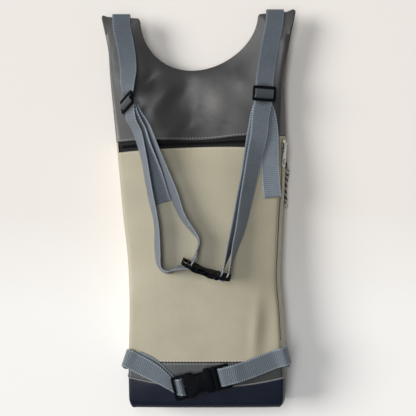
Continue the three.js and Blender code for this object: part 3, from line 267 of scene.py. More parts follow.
def yoke_point(share, climb, front):
    """x and y of a place on the yoke, across it and from its hem up to its top edge."""
    low_y = lambda x: front_seam(x) + GAP if front else back_zip_top(x)

    def edge(y, left):
        at = section(y)
        if front:
            return at.left if left else at.right
        return at.seam_left if left else at.seam_right

    start_left, start_right = edge(low_y(-110.0), True), edge(low_y(110.0), False)
    start_x = lerp(start_left, start_right, share)
    goal = top_edge(share)
    x = lerp(start_x, goal[..., 0], climb)
    y = lerp(low_y(start_x), goal[..., 1], climb)
    left_pull = np.maximum(0, 1 - share / HORN_SHARE)
    right_pull = np.maximum(0, 1 - (1 - share) / HORN_SHARE)
    ease = 1 - climb**6
    x = x + ease * left_pull * (edge(y, True) - lerp(start_left, HORN_LEFT[0, 0], climb))
    x = x + ease * right_pull * (edge(y, False) - lerp(start_right, HORN_RIGHT[-1, 0], climb))
    return x, y


# Meshes
def make_object(name, verts, faces, materials, uv=None, sharp=None):
    """A mesh object from points in millimetres and arrays of faces, turned outwards where it is closed."""
    verts = np.asarray(verts, float)
    used = np.unique(np.concatenate([np.asarray(f).ravel() for f in faces]))
    place = np.zeros(len(verts), int)
    place[used] = np.arange(len(used))
    verts = verts[used]
    faces = [place[np.asarray(f)] for f in faces]
    volume = sum(np.einsum("ij,ij->", verts[f[:, 0]], np.cross(verts[f[:, k]], verts[f[:, k + 1]]))
                 for f in faces for k in range(1, f.shape[1] - 1))
    if volume < 0:
        faces = [f[:, ::-1] for f in faces]
    mesh = bpy.data.meshes.new(name)
    mesh.from_pydata((verts * MM).tolist(), [], [tuple(q) for f in faces for q in f.tolist()])
    if uv is not None:
        layer = mesh.uv_layers.new(name="UVMap")
        corner = np.zeros(len(mesh.loops), int)
        mesh.loops.foreach_get("vertex_index", corner)
        layer.data.foreach_set("uv", (np.asarray(uv, float)[used] * MM)[corner].ravel())
    for material in materials if isinstance(materials, list) else [materials]:
        mesh.materials.append(material)
    mesh.shade_smooth()
    if sharp is not None:
        work = bmesh.new()
        work.from_mesh(mesh)
        for edge in work.edges:
            if len(edge.link_faces) == 2 and edge.calc_face_angle(0) > math.radians(sharp):
                edge.smooth = False
        work.to_mesh(mesh)
        work.free()
    mesh.validate()
    thing = bpy.data.objects.new(name, mesh)
    bpy.context.scene.collection.objects.link(thing)
    return thing


def keep(thing, slot, *nodes, body="bag"):
    """Puts a piece on its body and hides the solids it dresses, in whose place it stands. The slot is not
    used.
    """
    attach(thing, body)
    if nodes:
        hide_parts(*nodes)
    return thing


def grid_quads(rows, cols, wrap=False):
    index = np.arange(rows * cols).reshape(rows, cols)
    if wrap:
        index = np.concatenate([index, index[:, :1]], axis=1)
    corners = [index[:-1, :-1], index[:-1, 1:], index[1:, 1:], index[1:, :-1]]
    return np.stack(corners, axis=-1).reshape(-1, 4)


def edged(length, count, fine=(0, 0.25, 0.6, 1.1, 1.9, 3.2)):
    """Shares from 0 to 1 that stand closer together at both ends of a length."""
    rim = np.array(fine) / length
    inner = np.linspace(rim[-1], 1 - rim[-1], count)
    return np.concatenate([rim[:-1], inner, 1 - rim[:-1][::-1]])


def unit(v):
    return v / np.maximum(np.linalg.norm(v, axis=-1, keepdims=True), 1e-9)


def run_along(line):
    """Distance along a line of points, at each of them."""
    return np.concatenate([[0], np.cumsum(np.linalg.norm(np.diff(line, axis=0), axis=1))])


def fan(ring, hub, turned=False):
    """Triangles from a ring of points to one in its middle."""
    after = np.roll(ring, -1)
    sides = (ring, after) if turned else (after, ring)
    return np.stack([*sides, np.full(len(ring), hub)], axis=1)


def border_distance(points, axis):
    """Distance of a grid's points from its nearer border along one of its directions."""
    steps = np.linalg.norm(np.diff(points, axis=axis), axis=-1)
    pad = [(0, 0), (0, 0)]
    pad[axis] = (1, 0)
    run = np.pad(np.cumsum(steps, axis=axis), pad)
    total = np.take(run, [-1], axis=axis)
    return np.minimum(run, total - run)


def cloth_sheet(name, surface, s, t, up, material, thick=CLOTH, hole=None):
    """A panel of cloth under a surface, its edges rounded. hole drops cells by their middle shares."""
    share, climb = np.meshgrid(s, t)
    outer = surface(share, climb)
    normal = unit(np.cross(np.gradient(outer, axis=1), np.gradient(outer, axis=0)))
    if np.sum(normal @ np.asarray(up, float)) < 0:
        normal = -normal
    edge = np.minimum(border_distance(outer, 0), border_distance(outer, 1))
    r = thick * 0.46
    fall = r - np.sqrt(np.maximum(r * r - (r - np.minimum(edge, r)) ** 2, 0))
    top = outer - normal * fall[..., None]
    low = outer - normal * (thick - fall)[..., None]
    quads = grid_quads(*share.shape)
    if hole is not None:
        middle = lambda a: (a[:-1, :-1] + a[1:, 1:]) / 2
        quads = quads[~hole(middle(share), middle(climb)).ravel()]
    count = share.size
    edges = np.concatenate([quads[:, [k, (k + 1) % 4]] for k in range(4)])
    _, first, times = np.unique(np.sort(edges, axis=1), axis=0, return_index=True, return_counts=True)
    rim = edges[first[times == 1]]
    rims = np.stack([rim[:, 1], rim[:, 0], rim[:, 0] + count, rim[:, 1] + count], axis=1)
    points = np.concatenate([top.reshape(-1, 3), low.reshape(-1, 3)])
    return make_object(name, points, [quads, quads[:, ::-1] + count, rims], material)


def catmull(points, shares):
    """A centripetal curve through the points, at shares of its parameter."""
    points = np.asarray(points, float)
    ends = [2 * points[0] - points[1], 2 * points[-1] - points[-2]]
    chain = np.concatenate([[ends[0]], points, [ends[1]]])
    place = np.asarray(shares, float) * (len(points) - 1)
    i = np.minimum(place.astype(int), len(points) - 2)
    w = (place - i)[:, None]
    p0, p1, p2, p3 = (chain[i + k] for k in range(4))
    reach = lambda a, b: np.sqrt(np.linalg.norm(b - a, axis=1, keepdims=True))
    d1 = reach(p1, p2)
    d1 = np.where(d1 < 1e-4, 1, d1)
    d0, d2 = reach(p0, p1), reach(p2, p3)
    d0, d2 = np.where(d0 < 1e-4, d1, d0), np.where(d2 < 1e-4, d1, d2)
    m1 = ((p1 - p0) / d0 - (p2 - p0) / (d0 + d1) + (p2 - p1) / d1) * d1
    m2 = ((p2 - p1) / d1 - (p3 - p1) / (d1 + d2) + (p3 - p2) / d2) * d1
    return p1 + m1 * w + (3 * (p2 - p1) - 2 * m1 - m2) * w**2 + (2 * (p1 - p2) + m1 + m2) * w**3


def tape_outline(width, thick):
    """Section of woven tape: its two faces and its rounded selvedges, as across and out."""
    r, w = thick / 2, (width - thick) / 2
    turn = np.radians(np.linspace(-90, 90, 5))
    right = np.stack([w + r * np.cos(turn), r * np.sin(turn)], axis=1)
    flat = np.array([0.8, 0.4, 0, -0.4, -0.8]) * w
    top = np.stack([flat, np.full(5, r)], axis=1)
    return np.concatenate([right, top, -right, -top])


def ribbon(name, centres, faces, width, thick, material, gather=1.0):
    """Tape along a line of points, each with the direction its face looks; closed at both ends. gather is the
    share of its width that is left where it is drawn together."""
    along = unit(np.gradient(centres, axis=0))
    out = unit(faces - along * np.sum(faces * along, axis=1, keepdims=True))
    across = np.cross(along, out)
    outline = tape_outline(width, thick)
    share = np.broadcast_to(np.asarray(gather, float), len(centres))[:, None, None]
    rings = (centres[:, None] + across[:, None] * outline[None, :, :1] * share
             + out[:, None] * outline[None, :, 1:])
    run = run_along(centres)
    uv = np.stack(np.broadcast_arrays(run[:, None], outline[None, :, 0]), axis=-1)
    count, sides = rings.shape[:2]
    inner = rings[[0, -1]] * 0.5 + centres[[0, -1]][:, None] * 0.5
    inner_uv = np.stack(np.broadcast_arrays(run[[0, -1], None], outline[None, :, 0] * 0.5), axis=-1)
    points = np.concatenate([rings.reshape(-1, 3), inner.reshape(-1, 3), centres[[0, -1]]])
    uvs = np.concatenate([uv.reshape(-1, 2), inner_uv.reshape(-1, 2), [(0, 0), (run[-1], 0)]])
    quads, triangles = [grid_quads(count, sides, wrap=True)], []
    ring = np.arange(sides)
    after = np.roll(ring, -1)
    for end, start in enumerate((0, (count - 1) * sides)):
        cap, hub = (count + end) * sides, (count + 2) * sides + end
        turn = slice(None, None, -1 if end else 1)
        quads.append(np.stack([start + after, start + ring, cap + ring, cap + after], axis=1)[:, turn])
        triangles.append(fan(cap + ring, hub)[:, turn])
    return make_object(name, points, [np.concatenate(quads), np.concatenate(triangles)], material, uvs)


def tube_mesh(path, radius, sides, closed=False):
    """Points and faces of a round tube along a path; radius may be one per point."""
    path = np.asarray(path, float)
    if closed:
        along = unit(np.roll(path, -1, axis=0) - np.roll(path, 1, axis=0))
    else:
        along = unit(np.gradient(path, axis=0))
    normal = np.zeros_like(path)
    seed = np.array(UP) if abs(along[0][2]) < 0.9 else np.array([1.0, 0, 0])
    for i, direction in enumerate(along):
        seed = unit(seed - direction * (seed @ direction))
        normal[i] = seed
    side = np.cross(along, normal)
    turn = np.linspace(0, 2 * np.pi, sides, endpoint=False)
    radius = np.broadcast_to(np.asarray(radius, float), len(path))[:, None, None]
    rings = path[:, None] + radius * (np.cos(turn)[None, :, None] * normal[:, None]
                                      + np.sin(turn)[None, :, None] * side[:, None])
    points = rings.reshape(-1, 3)
    quads = grid_quads(len(path), sides, wrap=True)
    first = np.arange(sides)
    last = (len(path) - 1) * sides + first
    if closed:
        join = np.stack([last, np.roll(last, -1), np.roll(first, -1), first], axis=1)
        return points, [np.concatenate([quads, join])]
    hub = len(points)
    points = np.concatenate([points, path[[0]], path[[-1]]])
    return points, [quads, np.concatenate([fan(first, hub), fan(last, hub + 1, turned=True)])]


def join_meshes(parts):
    points, faces, start = [], [], 0
    for verts, groups in parts:
        points.append(verts)
        faces += [np.asarray(g) + start for g in groups]
        start += len(verts)
    return np.concatenate(points), faces


def pebble(around=8, rows=5, square=0.6):
    """A small rounded block, one unit each way from its middle, for stitches and zip teeth."""
    power = lambda v: np.sign(v) * np.abs(v) ** square
    lat = np.radians(np.linspace(-90, 90, rows + 2))[1:-1]
    lon = np.linspace(0, 2 * np.pi, around, endpoint=False)
    a, b = np.meshgrid(lon, lat)
    girth = power(np.cos(b))
    rings = np.stack([power(np.sin(b)), girth * power(np.cos(a)), girth * power(np.sin(a))], -1)
    points = np.concatenate([rings.reshape(-1, 3), [(-1, 0, 0), (1, 0, 0)]])
    ring, hub = np.arange(around), rows * around
    ends = np.concatenate([fan(ring, hub), fan((rows - 1) * around + ring, hub + 1, turned=True)])
    return points, [grid_quads(rows, around, wrap=True), ends]


def scatter(name, places, along, up, size, material, shape):
    """One object of many small blocks, each at a place, along a direction and standing on a surface."""
    verts, groups = shape
    along = unit(np.asarray(along, float))
    up = unit(up - along * np.sum(up * along, axis=1, keepdims=True))
    across = np.cross(up, along)
    length, width, height = size

    def block(p, a, c, u):
        return p + verts[:, :1] * a * length + verts[:, 1:2] * c * width + verts[:, 2:] * u * height

    points, faces = join_meshes([(block(*place), groups) for place in zip(places, along, across, up)])
    return make_object(name, points, faces, material)


def even_points(line, pitch):
    """Places at an even pitch along a line of points, with the line's direction there."""
    run = run_along(line)
    at = np.arange(pitch / 2, run[-1], pitch)
    step = 0.4

    def pick(shift):
        place = np.clip(at + shift, 0, run[-1])
        return np.stack([np.interp(place, run, line[:, k]) for k in range(3)], axis=1)

    return pick(0), unit(pick(step) - pick(-step))


def stitches(name, line, material, radius):
    """A row of stitches on the back along a line of points."""
    pitch, half_length, lift, step = 4.4, 1.55, 0.08, 0.5
    places, along = even_points(line, pitch)
    x, y = places[:, 0], places[:, 1]
    dx = (cloth_height(x + step, y) - cloth_height(x - step, y)) / (2 * step)
    dy = (cloth_height(x, y + step) - cloth_height(x, y - step)) / (2 * step)
    up = unit(np.stack([-dx, -dy, np.ones_like(dx)], axis=1))
    return scatter(name, places + up * lift, along, up, (half_length, radius, radius), material, pebble(6, 3))


# Hard pieces from flat outlines with bevelled edges
def arc(x, y, radius, start, stop, steps=6):
    turn = np.radians(np.linspace(start, stop, steps + 1))
    return [(x + radius * math.cos(a), y + radius * math.sin(a)) for a in turn]


def rounded(x0, x1, y0, y1, r):
    return (arc(x1 - r, y0 + r, r, -90, 0) + arc(x1 - r, y1 - r, r, 0, 90)
            + arc(x0 + r, y1 - r, r, 90, 180) + arc(x0 + r, y0 + r, r, 180, 270))


def plate(outline, holes, low, high, bevel):
    """A plate between two heights, with bevelled rims, as points and faces."""
    curve = bpy.data.curves.new("plate", "CURVE")
    curve.dimensions = "2D"
    curve.fill_mode = "BOTH"
    curve.extrude = (high - low) / 2 - bevel
    curve.bevel_depth = bevel
    curve.bevel_resolution = 2
    curve.offset = -bevel
    for loop in [outline, *holes]:
        spline = curve.splines.new("POLY")
        spline.points.add(len(loop) - 1)
        for point, (x, y) in zip(spline.points, loop):
            point.co = (x, y, 0, 1)
        spline.use_cyclic_u = True
    thing = bpy.data.objects.new("plate", curve)
    bpy.context.scene.collection.objects.link(thing)
    mesh = bpy.data.meshes.new_from_object(thing.evaluated_get(bpy.context.evaluated_depsgraph_get()))
    work = bmesh.new()
    work.from_mesh(mesh)
    bmesh.ops.remove_doubles(work, verts=work.verts, dist=1e-3)
    bmesh.ops.recalc_face_normals(work, faces=work.faces)
    work.verts.index_update()
    points = np.array([v.co for v in work.verts]) + (0, 0, (low + high) / 2)
    groups = {}
    for face in work.faces:
        groups.setdefault(len(face.verts), []).append([v.index for v in face.verts])
    work.free()
    bpy.data.objects.remove(thing)
    bpy.data.curves.remove(curve)
    bpy.data.meshes.remove(mesh)
    return points, [np.array(g) for g in groups.values()]


def rod(start, stop, radius, sides):
    """A short round bar with softened ends."""
    start, stop = np.asarray(start, float), np.asarray(stop, float)
    share = np.array([0, 0, 0.04, 0.96, 1, 1])
    radii = radius * np.array([0.35, 0.88, 1, 1, 0.88, 0.35])
    path = start + (stop - start) * share[:, None]
    path[0] -= unit(stop - start) * 0.02
    path[-1] += unit(stop - start) * 0.02
    return tube_mesh(path, radii, sides)


def in_frame(points, basis, origin, stretch=1.0):
    along, across, face = basis
    return (np.asarray(origin, float) + points[:, :1] * stretch * along
            + points[:, 1:2] * across + points[:, 2:] * face)


def hard_piece(name, parts, basis, origin, material, stretch=1.0):
    points, faces = join_meshes(parts)
    return make_object(name, in_frame(points, basis, origin, stretch), faces, material, sharp=SHARP)


# Materials
class Shader:
    """A material's nodes. Each call adds one and gives back its output."""

    def __init__(self, name, **values):
        self.material = bpy.data.materials.new(name)
        self.material.use_nodes = True
        self.tree = self.material.node_tree
        self.coords = self.add("TexCoord", "Object")
        self.set(**values)

    def join(self, value, socket):
        if isinstance(value, bpy.types.NodeSocket):
            self.tree.links.new(value, socket)
        else:
            socket.default_value = (*value, 1) if socket.type == "RGBA" else value

    def set(self, **values):
        """Values or outputs for the material's own sockets."""
        for key, value in values.items():
            self.join(value, self.tree.nodes["Principled BSDF"].inputs[key.replace("_", " ")])

    def add(self, kind, output, sockets=None, **settings):
        made = self.tree.nodes.new("ShaderNode" + kind)
        for key, value in settings.items():
            setattr(made, key, value)
        for key, value in (sockets or {}).items():
            self.join(value, made.inputs[key])
        return made.outputs[output]

    def noise(self, scale, detail=3.0):
        return self.add("TexNoise", "Fac", {"Vector": self.coords, "Scale": scale, "Detail": detail})

    def axis(self, vector, name):
        return self.add("SeparateXYZ", name, {"Vector": vector})

    def calc(self, operation, a, b=0.0):
        return self.add("Math", 0, {0: a, 1: b}, operation=operation)

    def wave(self, value, per_metre):
        """A sine with so many waves to the metre."""
        return self.calc("SINE", self.calc("MULTIPLY", value, 2 * math.pi * per_metre))

    def ramp(self, factor, *stops):
        """A colour between two, each with its place."""
        made = self.add("ValToRGB", "Color", {"Fac": factor})
        for element, (place, colour) in zip(made.node.color_ramp.elements, stops):
            element.position, element.color = place, (*colour, 1)
        return made

    def spread(self, factor, low, high, start=0.3, stop=0.7):
        return self.add("MapRange", "Result", {"Value": factor, "From Min": start, "From Max": stop,
                                               "To Min": low, "To Max": high})

    def bump(self, height, distance, strength, below=None):
        sockets = {"Height": height, "Distance": distance, "Strength": strength}
        if below is not None:
            sockets["Normal"] = below
        return self.add("Bump", "Normal", sockets)

    def mix(self, factor, a, b):
        return self.add("Mix", 2, {0: factor, 6: a, 7: b}, data_type="RGBA")

    def worn(self, colour, lighter, amount=0.5):
        """Lighter colour along the sharp outer edges."""
        point = self.add("NewGeometry", "Pointiness")
        return self.mix(self.spread(point, 0, amount, 0.52, 0.6), colour, lighter)


def shade(colour, factor):
    return tuple(min(1, c * factor) for c in colour)


def srgb(r, g, b):
    """A colour given as it looks on a screen, turned to linear light."""
    one = lambda c: c / 12.92 if c <= 0.04045 else ((c + 0.055) / 1.055) ** 2.4
    return tuple(one(c / 255) for c in (r, g, b))


def coated_cloth(name, colour, rough, gloss):
    """Cloth with a smooth coating: fine grain over a tight weave, cloudy gloss, slightly rubbed edges."""
    grain_depth = 0.00012
    s = Shader(name, Specular_IOR_Level=gloss, Sheen_Weight=0.03, Sheen_Roughness=0.45)
    base = s.ramp(s.noise(16, 4), (0.32, shade(colour, 0.93)), (0.68, shade(colour, 1.06)))
    speck = s.mix(s.spread(s.noise(420), 0, 0.22), base, shade(colour, 0.8))
    grain = s.add("TexVoronoi", "Distance", {"Vector": s.coords, "Scale": 950, "Randomness": 0.9},
                  feature="SMOOTH_F1")
    weave = s.add("TexWave", "Fac", {"Vector": s.coords, "Scale": 420, "Distortion": 1.5},
                  bands_direction="DIAGONAL")
    first = s.bump(grain, grain_depth, 0.5)
    second = s.bump(weave, grain_depth * 0.5, 0.35, first)
    s.set(Base_Color=s.worn(speck, shade(colour, 1.25)), Roughness=s.spread(s.noise(60), *rough),
          Normal=s.bump(s.noise(130, 4), grain_depth * 4, 0.3, second))
    return s.material


def woven_tape(name, colour, light):
    """Webbing: slanting ribs that meet in a chevron, fine yarns along it, tighter selvedges. It is darker
    towards the horns, and painted shade darkens it where it runs through the sliders."""
    ribs, slant, quarter, selvedge_at = 370.0, 0.15, 0.00625, 0.0106
    s = Shader(name, Specular_IOR_Level=0.3, Sheen_Weight=0.25, Sheen_Roughness=0.5)
    uv = s.add("UVMap", "UV", uv_map="UVMap")
    along, across = s.axis(uv, "X"), s.axis(uv, "Y")
    lean = s.calc("MULTIPLY", s.calc("PINGPONG", across, quarter), ribs * slant)
    rib = s.wave(s.calc("ADD", s.calc("MULTIPLY", along, ribs), lean), 1)
    height = s.calc("ADD", rib, s.calc("MULTIPLY", s.wave(across, 1050), 0.45))
    fuzz = s.noise(900, 2)
    factor = s.calc("ADD", s.spread(height, 0.22, 0.68, -1.3, 1.3), s.spread(fuzz, -0.16, 0.16))
    ribbed = s.mix(factor, shade(colour, 0.78), light)
    selvedge = s.calc("GREATER_THAN", s.calc("ABSOLUTE", across), selvedge_at)
    dashes = s.spread(s.wave(along, 300), 0.1, 0.9, -0.3, 0.3)
    base = s.mix(s.calc("MULTIPLY", selvedge, dashes), ribbed, shade(light, 1.35))
    # Darker in random clouds, and darker towards the horns from y 0.1 m up to 0.2 m
    clouds = s.spread(s.noise(30), 0, 0.18)
    upper = s.spread(s.axis(s.coords, "Y"), 0, 0.45, 0.1, 0.2)
    tone_and_painted_shade = s.mix(s.calc("ADD", clouds, upper), base, shade(colour, 0.7))
    # Painted shade: the webbing is darkened within 11 to 18 mm of each slider's middle, where it runs through
    # the slider
    flat = s.add("VectorMath", "Vector", {0: s.coords, 1: (1, 1, 0)}, operation="MULTIPLY")
    for x, y in SLIDER_SPOTS:
        away = s.add("VectorMath", "Value", {0: flat, 1: (x * MM, y * MM, 0)}, operation="DISTANCE")
        tone_and_painted_shade = s.mix(s.spread(away, 0.75, 0, 0.011, 0.018), tone_and_painted_shade, shade(colour, 0.3))
    s.set(Base_Color=tone_and_painted_shade, Roughness=s.spread(fuzz, 0.55, 0.75),
          Normal=s.bump(fuzz, 0.0001, 0.4, s.bump(height, 0.00022, 0.7)))
    return s.material


def moulded_plastic(name, colour):
    """Moulded plastic: fine satin texture, cloudy gloss, edges rubbed a little lighter."""
    s = Shader(name, Specular_IOR_Level=0.05)
    base = s.ramp(s.noise(45, 4), (0.3, shade(colour, 0.8)), (0.7, shade(colour, 1.25)))
    s.set(Base_Color=s.worn(base, shade(colour, 2.2), 0.4), Roughness=s.spread(s.noise(160), 0.36, 0.52),
          Normal=s.bump(s.noise(1500), 0.00006, 0.5))
    return s.material


def cast_metal(name, colour):
    """Plated zinc: brushed streaks, small dull patches, bright rubbed edges."""
    s = Shader(name, Metallic=1.0)
    streak = s.add("Mapping", "Vector", {"Vector": s.coords, "Scale": (900, 60, 900)})
    brushed = s.add("TexNoise", "Fac", {"Vector": streak, "Scale": 1, "Detail": 3})
    clouds = s.noise(130)
    base = s.ramp(clouds, (0.3, shade(colour, 0.82)), (0.7, colour))
    s.set(Base_Color=s.worn(base, shade(colour, 1.15), 0.7), Roughness=s.spread(clouds, 0.22, 0.4),
          Normal=s.bump(brushed, 0.00004, 0.4))
    return s.material


def yarn(name, colour, scale=1400.0):
    """Spun thread or knitted tape: fine twisted fibres and a soft sheen."""
    s = Shader(name, Specular_IOR_Level=0.3, Sheen_Weight=0.3, Sheen_Roughness=0.5)
    fibre = s.add("TexWave", "Fac", {"Vector": s.coords, "Scale": scale / 3, "Distortion": 3.0,
                                     "Detail": 2.0}, bands_direction="DIAGONAL")
    fuzz = s.noise(scale)
    factor = s.calc("ADD", s.calc("MULTIPLY", fibre, 0.5), s.calc("MULTIPLY", fuzz, 0.5))
    s.set(Base_Color=s.ramp(factor, (0.25, shade(colour, 0.7)), (0.75, shade(colour, 1.15))),
          Roughness=s.spread(fuzz, 0.6, 0.8), Normal=s.bump(factor, 0.00012, 0.6))
    return s.material


def pale_floor(name, colour, painted_light_colour):
    """A smooth pale sheet with a painted pool of light: its colour turns a little brighter towards the base
    of the bag.
    """
    s = Shader(name, Specular_IOR_Level=0.2)
    # Painted light: the colour turns to the brighter one from y -0.01 m down to -0.15 m
    base = s.mix(s.spread(s.axis(s.coords, "Y"), 1, 0, -0.15, -0.01), colour, painted_light_colour)
    s.set(Base_Color=s.mix(s.spread(s.noise(3, 2), 0, 0.012), base, shade(colour, 0.8)),
          Roughness=s.spread(s.noise(40), 0.75, 0.9))
    return s.material


SLIDER_SPOTS = ((-98.6, 142.2), (90.8, 154.4))  # x, y of the strap sliders
GREY = coated_cloth("grey_coated_cloth", srgb(54, 53, 54), (0.34, 0.44), 0.8)
BAND_GREY = coated_cloth("band_coated_cloth", srgb(52, 53, 54), (0.34, 0.44), 0.6)
BEIGE = coated_cloth("beige_coated_cloth", srgb(175, 168, 146), (0.4, 0.52), 0.4)
NAVY = coated_cloth("navy_coated_cloth", srgb(12, 20, 38), (0.4, 0.5), 0.26)
WEBBING = woven_tape("grey_webbing", srgb(74, 83, 94), srgb(138, 148, 158))
WEBBING_END = woven_tape("grey_webbing_end", srgb(96, 105, 116), srgb(152, 162, 172))
PLASTIC = moulded_plastic("black_plastic", srgb(4, 6, 11))
ZIP_TAPE = yarn("black_zip_tape", srgb(7, 7, 11))
ZIP_TEETH = moulded_plastic("black_zip_teeth", srgb(14, 14, 19))
SIDE_TAPE = yarn("beige_zip_tape", srgb(150, 144, 124))
SIDE_TEETH = moulded_plastic("beige_zip_teeth", srgb(176, 168, 148))
METAL = cast_metal("silver_metal", srgb(206, 208, 205))
THREAD_LIGHT = yarn("light_thread", srgb(224, 219, 206))
THREAD_GREY = yarn("grey_thread", srgb(168, 168, 168))
PIPING = yarn("grey_piping", srgb(128, 128, 128))
CORD_LIGHT = yarn("light_cord_strand", srgb(222, 220, 214), 1800)
CORD_DARK = yarn("dark_cord_strand", srgb(40, 41, 46), 1800)
CORD_MID = yarn("grey_cord_strand", srgb(132, 134, 126), 1800)
# The floor's second colour is painted light, brighter towards the bag's base
FLOOR = pale_floor("pale_floor", srgb(244, 239, 234), (0.985, 0.97, 0.955))


# Camera: width of the sensor in millimetres, focal length and width of the picture in pixels
SENSOR, FOCAL_PIXELS, WIDTH_PIXELS = 36, 1046.8, 416
camera_data = bpy.data.cameras.new("camera")
camera_data.sensor_width = SENSOR
camera_data.lens = SENSOR * FOCAL_PIXELS / WIDTH_PIXELS
camera = bpy.data.objects.new("camera", camera_data)
camera.location = (0.0132, -0.0035, 1.5)
bpy.context.scene.collection.objects.link(camera)
bpy.context.scene.camera = camera

# Cord: y, distance out from the outline, height
CORD_ROUTE = [(float(section(y).right) + out, y, z) for y, out, z in (
    (50, 3.6, 15), (45, 4.2, 10), (38, 4, 4.4), (29, 3.4, 2.9), (20, 3.3, 2.9), (11, 4.2, 2.9), (4, 5, 2.9))]


def twisted(path, strands, radius, offset, pitch, sides):
    """Strands laid round a line."""
    run = run_along(path)
    along = unit(np.gradient(path, axis=0))
    side = unit(np.cross(along, UP))
    up = np.cross(side, along)
    made = []
    for k in range(strands):
        turn = 2 * np.pi * (run / pitch + k / strands)
        line = path + offset * (np.cos(turn)[:, None] * side + np.sin(turn)[:, None] * up)
        made.append(tube_mesh(line, radius, sides))
    return made


def paint(thing, pieces, slots):
    """Material slots for the faces of each joined piece, in the order they were joined."""
    sizes = [sum(len(g) for g in groups) for _, groups in pieces]
    index = np.concatenate([np.full(size, slot) for size, slot in zip(sizes, slots)])
    thing.data.polygons.foreach_set("material_index", index.astype(int))


def make_cord():
    route = catmull(CORD_ROUTE, np.linspace(0, 1, 31))
    fine = catmull(CORD_ROUTE, np.linspace(0, 1, 150))
    strands = twisted(fine, strands=3, radius=1.22, offset=1.26, pitch=9, sides=9)
    points, faces = join_meshes(strands)
    cord = make_object("twisted_cord", points, faces, [CORD_LIGHT, CORD_DARK, CORD_MID])
    paint(cord, strands, [0, 1, 2])
    keep(cord, "cord", "pull_cord")

    # A trefoil knot, and the cord's cut end
    end = fine[-1] + unit(fine[-1] - fine[-2]) * 3.9
    centre = np.array([end[0], end[1], 4.0])
    turn = np.linspace(0, 2 * np.pi, 72, endpoint=False)
    knot = np.stack([np.sin(turn) + 2 * np.sin(2 * turn), np.cos(turn) - 2 * np.cos(2 * turn),
                     -1.5 * np.sin(3 * turn)], axis=1) * 0.72 + centre
    loops = tube_mesh(knot, 1.4, 10, closed=True)
    stub_radii = np.array([1.5, 1.5, 1.45, 1.4, 1.5, 1.3])
    stub = tube_mesh(np.linspace(centre, centre + (0.6, -3.3, -0.6), 6), stub_radii, 10)
    points, faces = join_meshes([loops, stub])
    tied = make_object("cord_end_knot", points, faces, CORD_LIGHT)
    keep(tied, "cord", "cord_knot")

    # The loop of tape that holds the cord, one half mirrored
    half = np.array([(-0.55, 8.6, 0), (-0.55, 5, 0), (-0.55, 1.8, 0), (-0.35, 0.5, 0)])
    loop = np.concatenate([half, [(0, 0, 0)], half[::-1] * (-1, 1, 1)])
    loop = loop + (float(section(55).right) + 1.6, 52.4, 16)
    half = np.array([(-1, 0, 0)] * 3 + [(-0.8, -0.6, 0)])
    faces = np.concatenate([half, [(0, -1, 0)], half[::-1] * (-1, 1, 1)])
    shares = np.linspace(0, 1, 33)
    tab = ribbon("cord_loop_tape", catmull(loop, shares), catmull(faces, shares), 11, 0.8, ZIP_TAPE)
    keep(tab, "black_tape", "cord_tab")


# Body of cloth
def edge_roll(x, at):
    """How far the back's cloth rolls down towards the side seams of a section."""
    depth, reach = 0.7, 5.0
    away = np.minimum(x - at.seam_left, at.seam_right - x)
    return depth * np.maximum(0, 1 - away / reach) ** 2


def on_cloth(x, y):
    return np.stack([x, y, cloth_height(x, y)], axis=-1)


def make_yokes():
    roll_end = 240  # y from which the yoke's edges no longer roll down

    def back(share, climb):
        x, y = yoke_point(share, climb, False)
        rolled = np.where(y < roll_end, edge_roll(x, section(y)), 0)
        return np.stack([x, y, cloth_height(x, y) - rolled], axis=-1)

    def front(share, climb):
        x, y = yoke_point(share, climb, True)
        return np.stack([x, y, front_height(y) + CLOTH], axis=-1)

    keep(cloth_sheet("yoke_back_cloth", back, edged(225, 190), edged(130, 96), UP, GREY),
         "grey_cloth", "back_yoke")
    keep(cloth_sheet("yoke_front_cloth", front, edged(225, 64), edged(130, 30), UP, GREY),
         "grey_cloth", "front_yoke")


def make_panels():
    low = BAND_TOP + GAP

    def back(share, climb):
        y = lerp(low, panel_top(lerp(-110, 112, share)), climb)
        at = section(y)
        x = lerp(at.seam_left, at.seam_right, share)
        return np.stack([x, y, cloth_height(x, y) - edge_roll(x, at)], axis=-1)

    def front(share, climb):
        y = lerp(low, front_seam(lerp(-120, 120, share)), climb)
        at = section(y)
        return np.stack([lerp(at.left, at.right, share), y, np.full(y.shape, CLOTH)], axis=-1)

    keep(cloth_sheet("back_panel_cloth", back, edged(210, 120), edged(290, 150), UP, BEIGE),
         "beige_cloth", "back_panel")
    keep(cloth_sheet("front_panel_cloth", front, edged(230, 30), edged(300, 40), UP, BEIGE),
         "beige_cloth", "front_panel")


